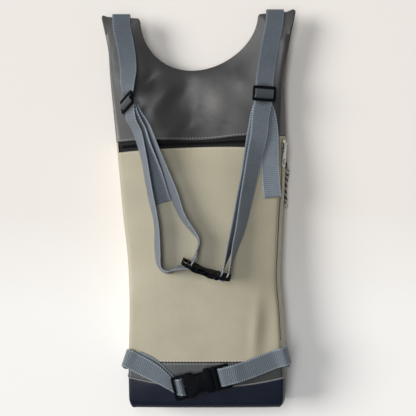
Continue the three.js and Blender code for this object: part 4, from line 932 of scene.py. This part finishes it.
def make_sides():
    low, from_left, from_right = BAND_TOP + GAP, back_zip_top(-ZIP_END), back_zip_top(ZIP_END)

    def side_sheet(name, side, foot, top, material, slot, node):
        surface = lambda share, along: side_point(lerp(foot, top, along), side, share)
        made = cloth_sheet(name, surface, edged(50, 26), edged(top - foot, 110), (side, 0, 0.2), material)
        keep(made, slot, node)

    side_sheet("yoke_left_side_cloth", -1, from_left + GAP, HORN_SEAM_TOP, GREY,
               "grey_cloth", "side_yoke_left")
    side_sheet("yoke_right_side_cloth", 1, from_right + GAP, HORN_SEAM_TOP, GREY,
               "grey_cloth", "side_yoke_right")
    side_sheet("left_side_cloth", -1, low, from_left, BEIGE, "beige_cloth", "side_panel_left")

    # The right wall in columns that follow the zip's window, which is left open between two shares
    start, stop = 0.1, 0.2
    above, below = SIDE_ZIP.down - SIDE_ZIP.window / 2, SIDE_ZIP.down + SIDE_ZIP.window / 2
    columns = np.concatenate([edged(above, 4, (0, 0.25, 0.6)) * start, np.linspace(start, stop, 4)[1:],
                              stop + (1 - stop) * edged(45, 24)[1:]])

    def wall(share, along):
        y = lerp(low, from_right, along)
        upper, lower = side_share(y, above), side_share(y, below)
        place = np.where(share < start, share / start * upper,
                         np.where(share < stop, lerp(upper, lower, (share - start) / (stop - start)),
                                  lerp(lower, 1, (share - stop) / (1 - stop))))
        return side_point(y, 1, place)

    def window(share, along):
        y = lerp(low, from_right, along)
        return (share > start) & (share < stop) & (y > SIDE_ZIP.bottom) & (y < SIDE_ZIP.top)

    made = cloth_sheet("right_side_cloth", wall, columns, edged(from_right - low, 150), (1, 0, 0.2), BEIGE,
                       hole=window)
    keep(made, "beige_cloth", "side_panel_right")


def section_loop(seam_y, inset):
    """A closed loop round the bag at one seam, drawn in by an inset, its corners rounded."""
    count, floor_count = 260, 40
    at = section(seam_y(np.array(0.0)))
    x = np.linspace(at.seam_left, at.seam_right, 90)
    back = on_cloth(x, seam_y(x))

    def down(edge, seam):
        y = float(seam_y(np.array(edge)))
        top = float(back_height(seam, y))
        knee = top * SIDE_BREAK
        z = np.concatenate([[top * 0.86, knee], np.linspace(knee, FLOOR_ROUND, 10)[1:]])
        out = np.where(z > knee + 1e-6, lerp(seam, edge, 0.72), edge)
        wall = np.stack([out, np.full(len(z), y), z], axis=1)
        turn = np.radians(np.array([25, 50, 70]))
        toe = np.stack([edge - np.sign(edge) * FLOOR_ROUND * (1 - np.cos(turn)), np.full(3, y),
                        FLOOR_ROUND * (1 - np.sin(turn))], axis=1)
        return np.concatenate([wall, toe])

    floor_x = np.linspace(at.right - FLOOR_ROUND, at.left + FLOOR_ROUND, floor_count)
    floor = np.stack([floor_x, seam_y(np.sign(floor_x) * 200.0), np.zeros(floor_count)], axis=1)
    loop = np.concatenate([back, down(float(at.right), float(at.seam_right)), floor,
                           down(float(at.left), float(at.seam_left))[::-1]])
    for _ in range(3):
        after = np.roll(loop, -1, axis=0)
        loop = np.stack([loop * 0.75 + after * 0.25, loop * 0.25 + after * 0.75], axis=1).reshape(-1, 3)
    closed = np.concatenate([loop, loop[:1]])
    run = run_along(closed)
    place = np.linspace(0, run[-1], count, endpoint=False)
    loop = np.stack([np.interp(place, run, closed[:, k]) for k in range(3)], axis=1)
    along = np.roll(loop, -1, axis=0) - np.roll(loop, 1, axis=0)
    flat = unit(along[:, [0, 2]])
    return np.stack([loop[:, 0] + flat[:, 1] * inset, loop[:, 1], loop[:, 2] - flat[:, 0] * inset], axis=1)


def ring_sheet(name, outer, inner, material, closed_end):
    """Cloth between an outer and an inner stack of loops; closed_end shuts it at the last loop."""
    rows, count = len(outer), len(outer[0])
    points = np.concatenate([*outer, *inner])
    half, last, ring = rows * count, (rows - 1) * count, np.arange(count)
    after = np.roll(ring, -1)
    quads = grid_quads(rows, count, wrap=True)
    groups = [quads, quads[:, ::-1] + half, np.stack([after, ring, ring + half, after + half], axis=1)]
    if closed_end:
        hub = len(points)
        points = np.concatenate([points, [outer[-1].mean(axis=0)], [inner[-1].mean(axis=0)]])
        groups += [fan(last + ring, hub, turned=True), fan(half + last + ring, hub + 1)]
    else:
        groups.append(np.stack([last + ring, last + after, last + after + half, last + ring + half], axis=1))
    return make_object(name, points, groups, material)


def make_band_and_base():
    def band_row(share, inset):
        return section_loop(lambda x: lerp(BAND_TOP + 0 * x, base_seam(x), share), inset)

    shares = np.concatenate([[0, 0.008, 0.03], np.linspace(0.07, 0.93, 12), [0.97, 0.992, 1]])
    soft = np.concatenate([[0.8, 0.25, 0.05], np.zeros(12), [0.05, 0.25, 0.8]])
    outer = [band_row(a, b) for a, b in zip(shares, soft)]
    inner = [band_row(a, CLOTH - b * 0.8) for a, b in zip(shares, soft)]
    keep(ring_sheet("band_cloth", outer, inner, BAND_GREY, False), "grey_cloth", "lower_band")

    def base_row(share, inset, thick=0.0):
        def height(x):
            seam = base_seam(x) - GAP
            return np.maximum(lerp(seam, BOTTOM + 0 * x, share), BOTTOM + thick)
        return section_loop(height, inset + thick)

    # Rows of the base: share of the way to its foot and inset, rounded over the last part
    straight, round_over = 0.7, 7.5
    rows = [(0, 0.8), (0.01, 0.3), (0.03, 0.0)]
    rows += [(a, 0.0) for a in np.linspace(0.08, straight, 8)]
    for turn in np.radians(np.linspace(8, 90, 11)):
        rows.append((straight + 0.3 * math.sin(turn), round_over * (1 - math.cos(turn))))
    outer = [base_row(a, b) for a, b in rows]
    inner = [base_row(a, b, CLOTH) for a, b in rows]
    for loops in (outer, inner):
        last = loops[-1]
        middle = last.mean(axis=0)
        loops += [middle + (last - middle) * scale for scale in (0.85, 0.6, 0.3, 0.08)]
    keep(ring_sheet("base_cloth", outer, inner, NAVY, True), "navy_cloth", "base")

    path = section_loop(lambda x: base_seam(x) - GAP / 2, -0.25)
    path[:, 2] = np.maximum(path[:, 2], PIPE)
    points, faces = tube_mesh(path, PIPE, 10, closed=True)
    keep(make_object("base_piping", points, faces, PIPING), "grey_cloth")


def make_seam_stitches():
    def across_at(y):
        at = section(y)
        return np.linspace(at.seam_left + 3, at.seam_right - 3, 200)

    zip_x, foot_x = across_at(80.0), across_at(BAND_TOP)
    foot_y = np.full(200, BAND_TOP)
    for name, x, y, radius, thread, slot in (
            ("panel_top_stitches", zip_x, panel_top(zip_x) - 2.3, 0.45, THREAD_LIGHT, "beige_cloth"),
            ("yoke_hem_stitches", zip_x, back_zip_top(zip_x) + 2.6, 0.45, THREAD_GREY, "grey_cloth"),
            ("panel_foot_stitches", foot_x, foot_y + 1.6, 0.6, THREAD_LIGHT, "beige_cloth"),
            ("band_top_stitches", foot_x, foot_y - 2.6, 0.45, THREAD_GREY, "grey_cloth")):
        keep(stitches(name, on_cloth(x, y), thread, radius), slot)


# Zips
def zip_teeth(name, places, across, out, step, size, material, shape):
    """Teeth at places along a zip, in turn to its one side and its other."""
    side = np.where(np.arange(len(places)) % 2, 1.0, -1.0)[:, None]
    return scatter(name, places + across * side * step, across, out, size, material, shape)


def make_back_zip():
    left, right = float(section(80.0).seam_left + 4), float(section(80.0).seam_right - 4)
    under = CLOTH + 3 * GAP

    def tape(share, climb):
        x = lerp(left, right, share)
        y = lerp(panel_top(x) - BACK_ZIP.tuck, back_zip_top(x) + BACK_ZIP.tuck, climb)
        return np.stack([x, y, back_height(x, y) - under], axis=-1)

    keep(cloth_sheet("back_zip_cloth", tape, edged(210, 110), edged(25, 14), UP, ZIP_TAPE, thick=1),
         "black_tape", "back_zip_tape")
    x = np.linspace(left + 1.5, right - 1.5, 300)
    y = (back_zip_top(x) + panel_top(x)) / 2
    line = np.stack([x, y, back_height(x, y) - under + GAP + BACK_ZIP.thick / 2], axis=1)
    places, along = even_points(line, 1.45)
    up = np.broadcast_to(UP, places.shape)
    teeth = zip_teeth("back_zip_teeth", places, unit(np.cross(up, along)), up, 1.05, (1.4, 0.62, 0.66),
                      ZIP_TEETH, pebble(8, 4, 0.55))
    keep(teeth, "black_tape", "back_zip_coil")


def make_side_zip():
    low, high = SIDE_ZIP.bottom + GAP, SIDE_ZIP.top - GAP
    half = SIDE_ZIP.window / 2 + SIDE_ZIP.tuck
    under = CLOTH + 3 * GAP

    def zip_point(y, offset, depth):
        return side_point(y, 1, side_share(y, SIDE_ZIP.down + offset)) - np.array([depth, 0, 0])

    tape = lambda share, along: zip_point(lerp(low, high, along), lerp(-half, half, share), under)
    keep(cloth_sheet("side_zip_cloth", tape, edged(10, 8, (0, 0.2, 0.5)), edged(278, 120), (1, 0, 0.5),
                     SIDE_TAPE, thick=1), "beige_tape", "side_zip_tape")
    line = zip_point(np.linspace(low, high, 200), 0, under - GAP - SIDE_ZIP.thick / 2)
    places, along = even_points(line, 1.2)
    y = np.linspace(low, high, len(places))
    out = unit(np.cross(along, zip_point(y, 1, 0) - zip_point(y, -1, 0)))
    out = out * np.sign(out[:, :1])
    teeth = zip_teeth("side_zip_teeth", places, unit(np.cross(out, along)), out, 0.5, (0.75, 0.5, 0.42),
                      SIDE_TEETH, pebble(6, 3, 0.55))
    keep(teeth, "beige_tape", "side_zip_coil")


def zip_frame():
    """The side zip's slider: directions along the zip, across it and out of the wall, and its place."""
    slider_y = 86.0
    down = lambda y, distance: side_point(y, 1, side_share(y, distance), soft=1e-6)
    origin = down(slider_y, SIDE_ZIP.down)
    along = unit(down(slider_y - 40, SIDE_ZIP.down) - origin)
    face = unit(np.cross(along, down(slider_y, SIDE_ZIP.down + 2) - origin))
    return (along, np.cross(face, along), face), origin


def make_zip_pull():
    basis, origin = zip_frame()
    lift, out = GAP + 0.2, 4.7  # heights of the slider's underside and of its pin
    parts = [plate(rounded(-5.5, 5.5, -3.75, 3.75, 1.5), [], lift, lift + 2, 0.45)]
    for side in (-1, 1):
        cheek = [(-1.5, lift + 1), (1.5, lift + 1), (1.5, out - 0.3), *arc(0, out - 0.3, 1.35, 0, 180),
                 (-1.5, out - 0.3)]
        points, groups = plate(cheek, [], -0.5, 0.5, 0.15)
        points = np.stack([points[:, 0], side * 3.2 + points[:, 2], points[:, 1]], axis=1)
        parts.append((points, groups))
    parts.append(rod((0, -3.6, out), (0, 3.6, out), 0.6, 12))
    keep(hard_piece("zip_slider_body", parts, basis, origin, METAL), "silver_metal", "side_zip_slider")

    length, width, neck = 33, 7, 4.4
    end = length - width / 2
    outline = [(2.2, -neck / 2), (6, -neck / 2 - 0.3), (11, -width / 2 + 0.35), (15, -width / 2),
               *arc(end, 0, width / 2, -90, 90, 14), (15, width / 2), (11, width / 2 - 0.35),
               (6, neck / 2 + 0.3), (2.2, neck / 2)]
    slot = rounded(end - 8.5, end + 0.5, -1.5, 1.5, 1.45)
    parts = [plate(outline, [slot], -0.7, 0.7, 0.3)]
    # The ring round the pin: radius and place along the pin
    edge, soft, around = neck / 2, neck / 2 - 0.15, 20
    profile = [(0.95, -edge), (1.45, -edge), (1.6, -soft), (1.6, soft), (1.45, edge), (0.95, edge)]
    turn = np.linspace(0, 2 * np.pi, around, endpoint=False)
    ring = np.array([(r * math.cos(a), y, r * math.sin(a)) for r, y in profile for a in turn])
    parts.append((ring, [grid_quads(len(profile) + 1, around, wrap=True) % len(ring)]))
    parts.append(plate(rounded(1.1, 3.2, -neck / 2, neck / 2, 0.3), [], -0.7, 0.7, 0.2))
    droop = math.radians(5)
    points, faces = join_meshes(parts)
    points = np.stack([points[:, 0] * math.cos(droop) + points[:, 2] * math.sin(droop), points[:, 1],
                       out - points[:, 0] * math.sin(droop) + points[:, 2] * math.cos(droop)], axis=1)
    tab = hard_piece("zip_pull_tab", [(points, faces)], basis, origin, METAL)
    keep(tab, "silver_metal", "side_zip_pull", body="zip_tab")


# Hard pieces of the straps and the belt
BUCKLE_HALF = 36  # from a buckle's middle to its end


def frame_of(x, y, heading, roll, standoff, lean, pitch=0, bow=0):
    """Axes and middle of a hard piece on the back. A bowed piece sags by `bow` between its ends, three
    quarters of it below its own plane."""
    a, r, p = (math.radians(angle) for angle in (heading, roll, pitch))
    level, up = np.array([math.cos(a), math.sin(a), 0]), np.array(UP)
    aside = np.array([level[1], -level[0], 0]) * lean
    along = level * math.cos(p) + up * math.sin(p)
    face = (up * math.cos(p) - level * math.sin(p)) * math.cos(r) + aside * math.sin(r)
    origin = np.array([x, y, float(back_height(x, y)) + standoff])
    sag = lambda u: bow * ((u / BUCKLE_HALF) ** 2 - 0.75)
    return SimpleNamespace(basis=(along, np.cross(face, along), face), origin=origin, sag=sag, bow=bow)


def bend(piece, at):
    """Cuts a hard piece across every few millimetres and bows it as its frame says."""
    along, _, face = (Vector(axis) for axis in at.basis)
    origin = Vector(at.origin) * MM
    shape = bmesh.new()
    shape.from_mesh(piece.data)
    for u in range(-BUCKLE_HALF, BUCKLE_HALF + 1, 3):
        every = [*shape.verts, *shape.edges, *shape.faces]
        bmesh.ops.bisect_plane(shape, geom=every, dist=1e-7, plane_co=origin + along * u * MM, plane_no=along)
    for vert in shape.verts:
        vert.co += face * at.sag((vert.co - origin).dot(along) / MM) * MM
    shape.to_mesh(piece.data)
    shape.free()


SLIDER_LEFT = frame_of(*SLIDER_SPOTS[0], -80, 54, 20.5, 1, pitch=26)
SLIDER_RIGHT = frame_of(*SLIDER_SPOTS[1], -94, 4, 16, -1)
CHEST = frame_of(11.8, -87.3, -19, 82, 17.4, -1, bow=4.5)
HIP = frame_of(6.4, -238.8, 14.5, 0, 8.8, -1)


def make_slider(name, node, at):
    outline = rounded(-10.5, 10.5, -16, 16, 2.5)
    holes = [rounded(-6.7, -1.5, -13.3, 13.3, 1), rounded(1.5, 6.7, -13.3, 13.3, 1)]
    parts = [plate(outline, holes, -1.3, 1.3, 0.6)]
    keep(hard_piece(name, parts, at.basis, at.origin, PLASTIC), "black_plastic", node)


def make_buckle(name, at, stretch):
    half, slot = 16.5, 13.2  # half widths of the buckle and of the webbing's slots

    def ladder(start, stop, *slots):
        holes = [rounded(place, place + 4.5, -slot, slot, 1) for place in slots]
        return plate(rounded(start, stop, -half, half, 3), holes, -2.25, 2.25, 0.7)

    def mirrored(loop, side, reach, bevel):
        return plate([(x, side * y) for x, y in loop], [], -reach, reach, bevel)

    # The socket: two shells with finger bays at the sides, walls between them and the ladder for the webbing
    bay = math.degrees(math.asin(2.5 / 8))
    shell = [*arc(10.5, -15, 1.5, -90, 0, 4), *arc(10.5, 15, 1.5, 0, 90, 4),
             *arc(-4, 19, 8, -bay, -180 + bay, 14), *arc(-19, 14.5, 2, 90, 180, 4),
             *arc(-19, -14.5, 2, 180, 270, 4), *arc(-4, -19, 8, 180 - bay, bay, 14)]
    parts = [plate(shell, [], 1.9, 3.5, 0.55), plate(shell, [], -3.5, -1.9, 0.55),
             ladder(-BUCKLE_HALF, -17, -33, -25.5),
             plate(rounded(-20.6, -15, -16.2, 16.2, 1), [], -2.6, 2.6, 0.3)]
    rear = [(-19, 13.6), (-10, 13.6), (-12, 16.2), (-19, 16.2)]
    fore = [(2, 13.6), (11.7, 13.6), (11.7, 16.2), (4, 16.2)]
    parts += [mirrored(wall, side, 2.6, 0.25) for side in (-1, 1) for wall in (rear, fore)]
    socket = hard_piece(f"{name}_socket", parts, at.basis, at.origin, PLASTIC, stretch)
    keep(socket, "black_plastic", f"{name}_buckle_socket")

    # The plug: its ladder, its head, the tongue and the two sprung arms
    arm = [(13.4, 9), (-12, 9), (-13, 10), (-10.6, 13.0), (-1, 13.2), (1.2, 12.4), (2.4, 12), (13.4, 12)]
    parts = [ladder(12.4, 33.5, 18, 26), plate(rounded(12.4, 18, -half, half, 1.4), [], -3.5, 3.5, 0.6),
             plate(rounded(-13, 13.4, -2.4, 2.4, 1), [], -1.7, 1.7, 0.4),
             *(mirrored(arm, side, 1.7, 0.4) for side in (-1, 1))]
    plug = hard_piece(f"{name}_plug", parts, at.basis, at.origin, PLASTIC, stretch)
    keep(plug, "black_plastic", f"{name}_buckle_plug")
    if at.bow:
        bend(socket, at)
        bend(plug, at)


# Webbing: rows of x, y, roll from lying flat, height over the cloth and, where it is gathered, its width
LEFT_UPPER = [(-106.8, 246.9, 0, 0.7), (-103.8, 233.3, 2, 0.7), (-100.7, 217.1, 6, 1.2),
              (-98.5, 200.8, 12, 2.2), (-97.2, 185.7, 20, 4.6), (-97.9, 169.3, 34, 7)]
LEFT_DOWN = [(-92.6, 119, 56, 11.6), (-84, 101, 60, 2.4), (-74.9, 66.2, 68, 1), (-69.7, 37.5, 70, 1),
             (-65, 12, 70, 1), (-59.2, -13.1, 73, 1), (-56.5, -32, 73, 1), (-55.9, -50, 70, 1),
             (-55.1, -66, 70, 1), (-53.6, -78, 74, 1.2), (-49, -87.5, 80, 1.8), (-40, -90.5, 84, 2.4)]
LEFT_RETURN = [(-3.4, -64.3, 91, 2), (0.6, -52, 93, 1.2), (-0.6, -44, 96, 1), (-6.4, -36, 102, 1),
               (-13.7, -26.7, 106, 1), (-22.3, -13.1, 110, 1), (-33.9, 17, 118, 1), (-44.9, 45.7, 113, 1),
               (-57.5, 75.7, 112, 1), (-66.7, 97, 116, 1.6), (-73.6, 110, 122, 3.8), (-80.4, 120.4, 122, 7)]
LEFT_TAIL = [(-86.6, 120, 56, 9.2), (-79.4, 105, 54, 2.6), (-72.6, 82, 50, 1), (-60.5, 42, 22, 1),
             (-54.6, 20, 10, 1), (-49.8, 3.6, 7, 1)]
RIGHT_UPPER = [(105.6, 252.7, 0, 0.7), (102.7, 238.1, 0, 0.7), (99, 220, 0, 0.9), (95.8, 199, 0, 1.6),
               (92.7, 178, 0, 4.5)]
RIGHT_DOWN = [(86.6, 128, 7, 9.8), (83.5, 98, 13, 8.2), (76, 62.3, 30, 5.4), (70.5, 34, 38, 4),
              (65.3, 7.5, 44, 3), (61, -15, 50, 2.8), (56.4, -35, 58, 2.6), (49.5, -58, 70, 2.6)]
RIGHT_RETURN = [(42.8, -58, 110, 1), (50.6, -33, 124, 1), (55.8, -13, 131, 1), (60.6, 9, 137, 1),
                (66.8, 36, 143, 1), (72.4, 65, 151, 1), (79.4, 99, 168, 1), (85, 128, 177, 1.4)]
RIGHT_TAIL = [(95, 126, 10, 5.8), (98.8, 100, 10, 3.2), (99, 78, 6, 2.6), (99, 56, 3, 1.6), (100.2, 34, 3, 1),
              (102.4, 11, 3, 1)]
BELT_LEFT = [(-86, -213.8, 0, 3.6), (-70, -221.6, 4, 3.4), (-57, -229, 6, 3.4, 23), (-47, -236, 6, 3.6, 19)]
BELT_LEFT_RETURN = [(-47, -230.4, 180, 1.2, 17), (-58, -223, 180, 0.8, 22), (-70, -216.6, 180, 0.8),
                    (-84, -210.4, 180, 0.8)]
BELT_RIGHT = [(106, -209.6, 0, 1), (90, -215.2, 0, 2), (74, -220.6, 0, 5), (62, -224.4, 0, 8)]
# Rise of the belt up a wall: out from the outline, y, height, lean of the face and its turn towards the horns
BELT_RISE_LEFT = [(1.6, -216, 12, 90, 0), (1.7, -216, 32, 90, 0), (3, -213.5, 52, 88, 8),
                  (3.9, -208, 68.4, 66, 26), (-0.6, -208.2, 75, 26, 26)]
BELT_RISE_RIGHT = [(1.6, -213, 12, 90, 0), (1.7, -213, 32, 90, 0), (2.8, -210.5, 52, 88, 7),
                   (2.6, -204.5, 68, 62, 20), (-3.4, -206, 75, 22, 20)]
# Ways through the hard pieces: distance along, height over the middle and turn of the face; some rows also
# have a shift across and, where the webbing is gathered, its width
THROUGH_SLIDER = [(-11, -3.4, 0), (-8.6, -3.2, 15), (-6.6, -2.2, 40), (-4.3, 0.2, 50), (-1.9, 2.5, 30),
                  (0, 3.1, 0), (1.9, 2.5, -30), (4.3, 0.2, -50), (6.6, -2.2, -40), (8.6, -3.2, -15),
                  (12, -3.5, 0)]
TAIL_START = [(-2, -2.8, 0), (2, -3.1, -8), (6, -4.5, -15), (9.5, -5.9, -10), (14, -6.7, 0)]
RETURN_END = [(14, -10.6, 180), (9.5, -9.2, 170), (6, -7.4, 165), (2, -6, 170), (-1, -5.7, 180)]
INTO_SOCKET = [(-40, -13, 214), (-34, -8.8, 214), (-29, -5.4, 208), (-25.6, -4, 210), (-23.8, -2.4, 238),
               (-23, 0, 256), (-22.6, 2.6, 260), (-21.6, 6.5, 256)]
ROUND_PLUG = ([(28.35, 8, -90), (28.35, 4, -90)]
              + [(24.25 + 4.1 * math.cos(math.radians(a)), -4.1 * math.sin(math.radians(a)), -90 - a)
                 for a in range(0, 181, 30)]
              + [(20.15, 4, -270), (20.15, 8, -270)])
BELT_INTO_SOCKET = [(-43.2, -4.7, 0, 6, 14), (-39.6, -4.8, 2, 3.8, 17), (-36.1, -2.3, 50, 2.4, 20.2),
                    (-34.8, 1.2, 62, 2, 21), (-33.2, 3.6, 30, 1.6, 21.8), (-31.3, 4.1, 0, 1.2, 22.6),
                    (-29.1, 3.2, -50, 0.8, 23.4), (-27.4, 0.6, -80, 0.4, 24.2), (-27.2, -2.4, -95),
                    (-28.5, -5.4, -135), (-31.6, -6.9, -175), (-39, -7.3, -180, 4, 18)]
BELT_ROUND_PLUG = [(46, 3.6, 0), (40, 3.8, 0), (33, 4, 0), (28, 4, 0), (25.2, 2.9, 45), (23.6, 0, 90),
                   (25.2, -2.9, 135), (28, -4, 180), (34, -4, 180), (43, -4.2, 180)]


def on_back(rows, lean):
    """Stations of webbing over the back: place, direction of the face and, if it is gathered, width. The
    nearer edge rests over the cloth; lean says to which side the webbing rolls."""
    stations = []
    for i, (x, y, roll, over, *width) in enumerate(rows):
        before, after = rows[max(i - 1, 0)], rows[min(i + 1, len(rows) - 1)]
        along = unit(np.array([after[0] - before[0], after[1] - before[1], 0.0]))
        aside = np.array([along[1], -along[0], 0]) * lean
        turn = math.radians(roll)
        face = np.array([0, 0, math.cos(turn)]) + aside * math.sin(turn)
        across = np.cross(along, face)
        reach = np.linspace(-0.5, 0.5, 9) * WEB_WIDTH
        cloth = back_height(x + across[0] * reach, y + across[1] * reach) - across[2] * reach
        stations.append(((x, y, max(0, cloth.max()) + abs(face[2]) * WEB_THICK / 2 + over), face, *width))
    return stations


def through(at, places):
    """Stations of webbing through a hard piece, in that piece's own frame."""
    along, across, face = at.basis
    turn = lambda a: face * math.cos(math.radians(a)) - along * math.sin(math.radians(a))
    stations = []
    for u, h, a, shift, *width in (row if len(row) > 3 else (*row, 0) for row in places):
        stations.append((at.origin + along * u + across * shift + face * (h + at.sag(u)), turn(a), *width))
    return stations


def horn_start(x, lead):
    """Stations from where a strap is sewn under a horn, round the horn's top and on to the back."""
    sewn_in = 17
    top = float(horn_top(x))
    fold = float(back_height(x, top)) + GAP + WEB_THICK / 2
    low = float(front_height(top - sewn_in)) - 2.5 * GAP - WEB_THICK / 2
    middle, radius = (fold + low) / 2, (fold - low) / 2
    stations = [((x + lead, top - sewn_in, low), (0, 0, -1)), ((x + lead * 0.5, top - 9, low), (0, 0, -1))]
    for a in np.radians(np.arange(-90, 91, 45)):
        face = np.array([0, math.cos(a), math.sin(a)])
        stations.append((np.array([x, top + GAP, middle]) + face * radius, face))
    return stations


def belt_rise(rows, side):
    """Stations from where the belt is sewn low on a side wall up to the back."""
    stations = []
    for out, y, z, tilt, turn in rows:
        at = section(float(y))
        outline = at.left if side < 0 else at.right
        tilt, turn = math.radians(tilt), math.radians(turn)
        face = (side * math.sin(tilt) * math.cos(turn), math.sin(tilt) * math.sin(turn), math.cos(tilt))
        stations.append(((float(outline) + side * out, y, z), face))
    return stations


def webbing(name, node, stations, material=WEBBING):
    """A length of webbing on a smooth curve through its stations."""
    places = np.array([station[0] for station in stations], float)
    faces = np.array([station[1] for station in stations], float)
    steps = 8  # from one station to the next
    shares = np.linspace(0, 1, steps * (len(stations) - 1) + 1)
    widths = [station[2] / WEB_WIDTH if len(station) > 2 else 1 for station in stations]
    gather = np.interp(shares, np.linspace(0, 1, len(stations)), widths)
    made = ribbon(name, catmull(places, shares), catmull(faces, shares), WEB_WIDTH, WEB_THICK, material,
                  gather)
    keep(made, "webbing", node)


def make_straps():
    webbing("left_strap_webbing", "strap_left",
            horn_start(-108, -1) + on_back(LEFT_UPPER, 1) + through(SLIDER_LEFT, THROUGH_SLIDER)
            + on_back(LEFT_DOWN, 1) + through(CHEST, INTO_SOCKET) + on_back(LEFT_RETURN, 1)
            + through(SLIDER_LEFT, RETURN_END))
    webbing("left_tail_webbing", "strap_left_tail",
            through(SLIDER_LEFT, TAIL_START) + on_back(LEFT_TAIL, 1), material=WEBBING_END)
    webbing("right_strap_webbing", "strap_right",
            horn_start(107.1, 1) + on_back(RIGHT_UPPER, -1) + through(SLIDER_RIGHT, THROUGH_SLIDER)
            + on_back(RIGHT_DOWN, -1) + through(CHEST, ROUND_PLUG) + on_back(RIGHT_RETURN, -1)
            + through(SLIDER_RIGHT, RETURN_END))
    webbing("right_tail_webbing", "strap_right_tail",
            through(SLIDER_RIGHT, TAIL_START) + on_back(RIGHT_TAIL, -1), material=WEBBING_END)
    webbing("left_belt_webbing", "hip_belt_left",
            belt_rise(BELT_RISE_LEFT, -1) + on_back(BELT_LEFT, 1) + through(HIP, BELT_INTO_SOCKET)
            + on_back(BELT_LEFT_RETURN, 1))
    webbing("right_belt_webbing", "hip_belt_right",
            belt_rise(BELT_RISE_RIGHT, 1) + on_back(BELT_RIGHT, 1) + through(HIP, BELT_ROUND_PLUG))
    make_slider("left_slider_frame", "slider_left", SLIDER_LEFT)
    make_slider("right_slider_frame", "slider_right", SLIDER_RIGHT)
    make_buckle("chest", CHEST, 1.0)
    make_buckle("hip", HIP, 1.16)


# Floor and light
def make_stage():
    reach = 4000
    corners = np.array([(-reach, -reach, 0), (reach, -reach, 0), (reach, reach, 0), (-reach, reach, 0)])
    floor = make_object("floor", corners, [np.array([(0, 1, 2, 3)])], FLOOR)


def add_light(name, kind, place, strength, colour, **settings):
    """A light that looks from its place at the bag."""
    data = bpy.data.lights.new(name, kind)
    data.energy, data.color = strength, colour
    for key, value in settings.items():
        setattr(data, key, value)
    light = bpy.data.objects.new(name, data)
    light.location = place
    light.rotation_euler = Vector(place).to_track_quat("Z", "Y").to_euler()
    bpy.context.scene.collection.objects.link(light)


def make_light():
    world = bpy.data.worlds.new("studio")
    world.use_nodes = True
    background = world.node_tree.nodes["Background"]
    background.inputs["Color"].default_value = (1.0, 0.985, 0.97, 1)
    background.inputs["Strength"].default_value = 0.18
    bpy.context.scene.world = world
    # A broad far light: heading, 0 along +X and 90 along +Y, and height in degrees
    a, e = math.radians(172), math.radians(37)
    far = (2 * math.cos(a) * math.cos(e), 2 * math.sin(a) * math.cos(e), 2 * math.sin(e))
    add_light("key", "SUN", far, 2.42, (1.0, 0.98, 0.95), angle=math.radians(30))
    # A long panel of light
    add_light("overhead", "AREA", (-0.45, 0.05, 2.9), 30, (0.95, 0.98, 1.0), shape="RECTANGLE", size=2.2,
              size_y=0.7)
    bpy.context.scene.view_settings.view_transform = "Standard"


make_cord()
make_yokes()
make_panels()
make_sides()
make_band_and_base()
make_seam_stitches()
make_back_zip()
make_side_zip()
make_zip_pull()
make_straps()
make_stage()
make_light()
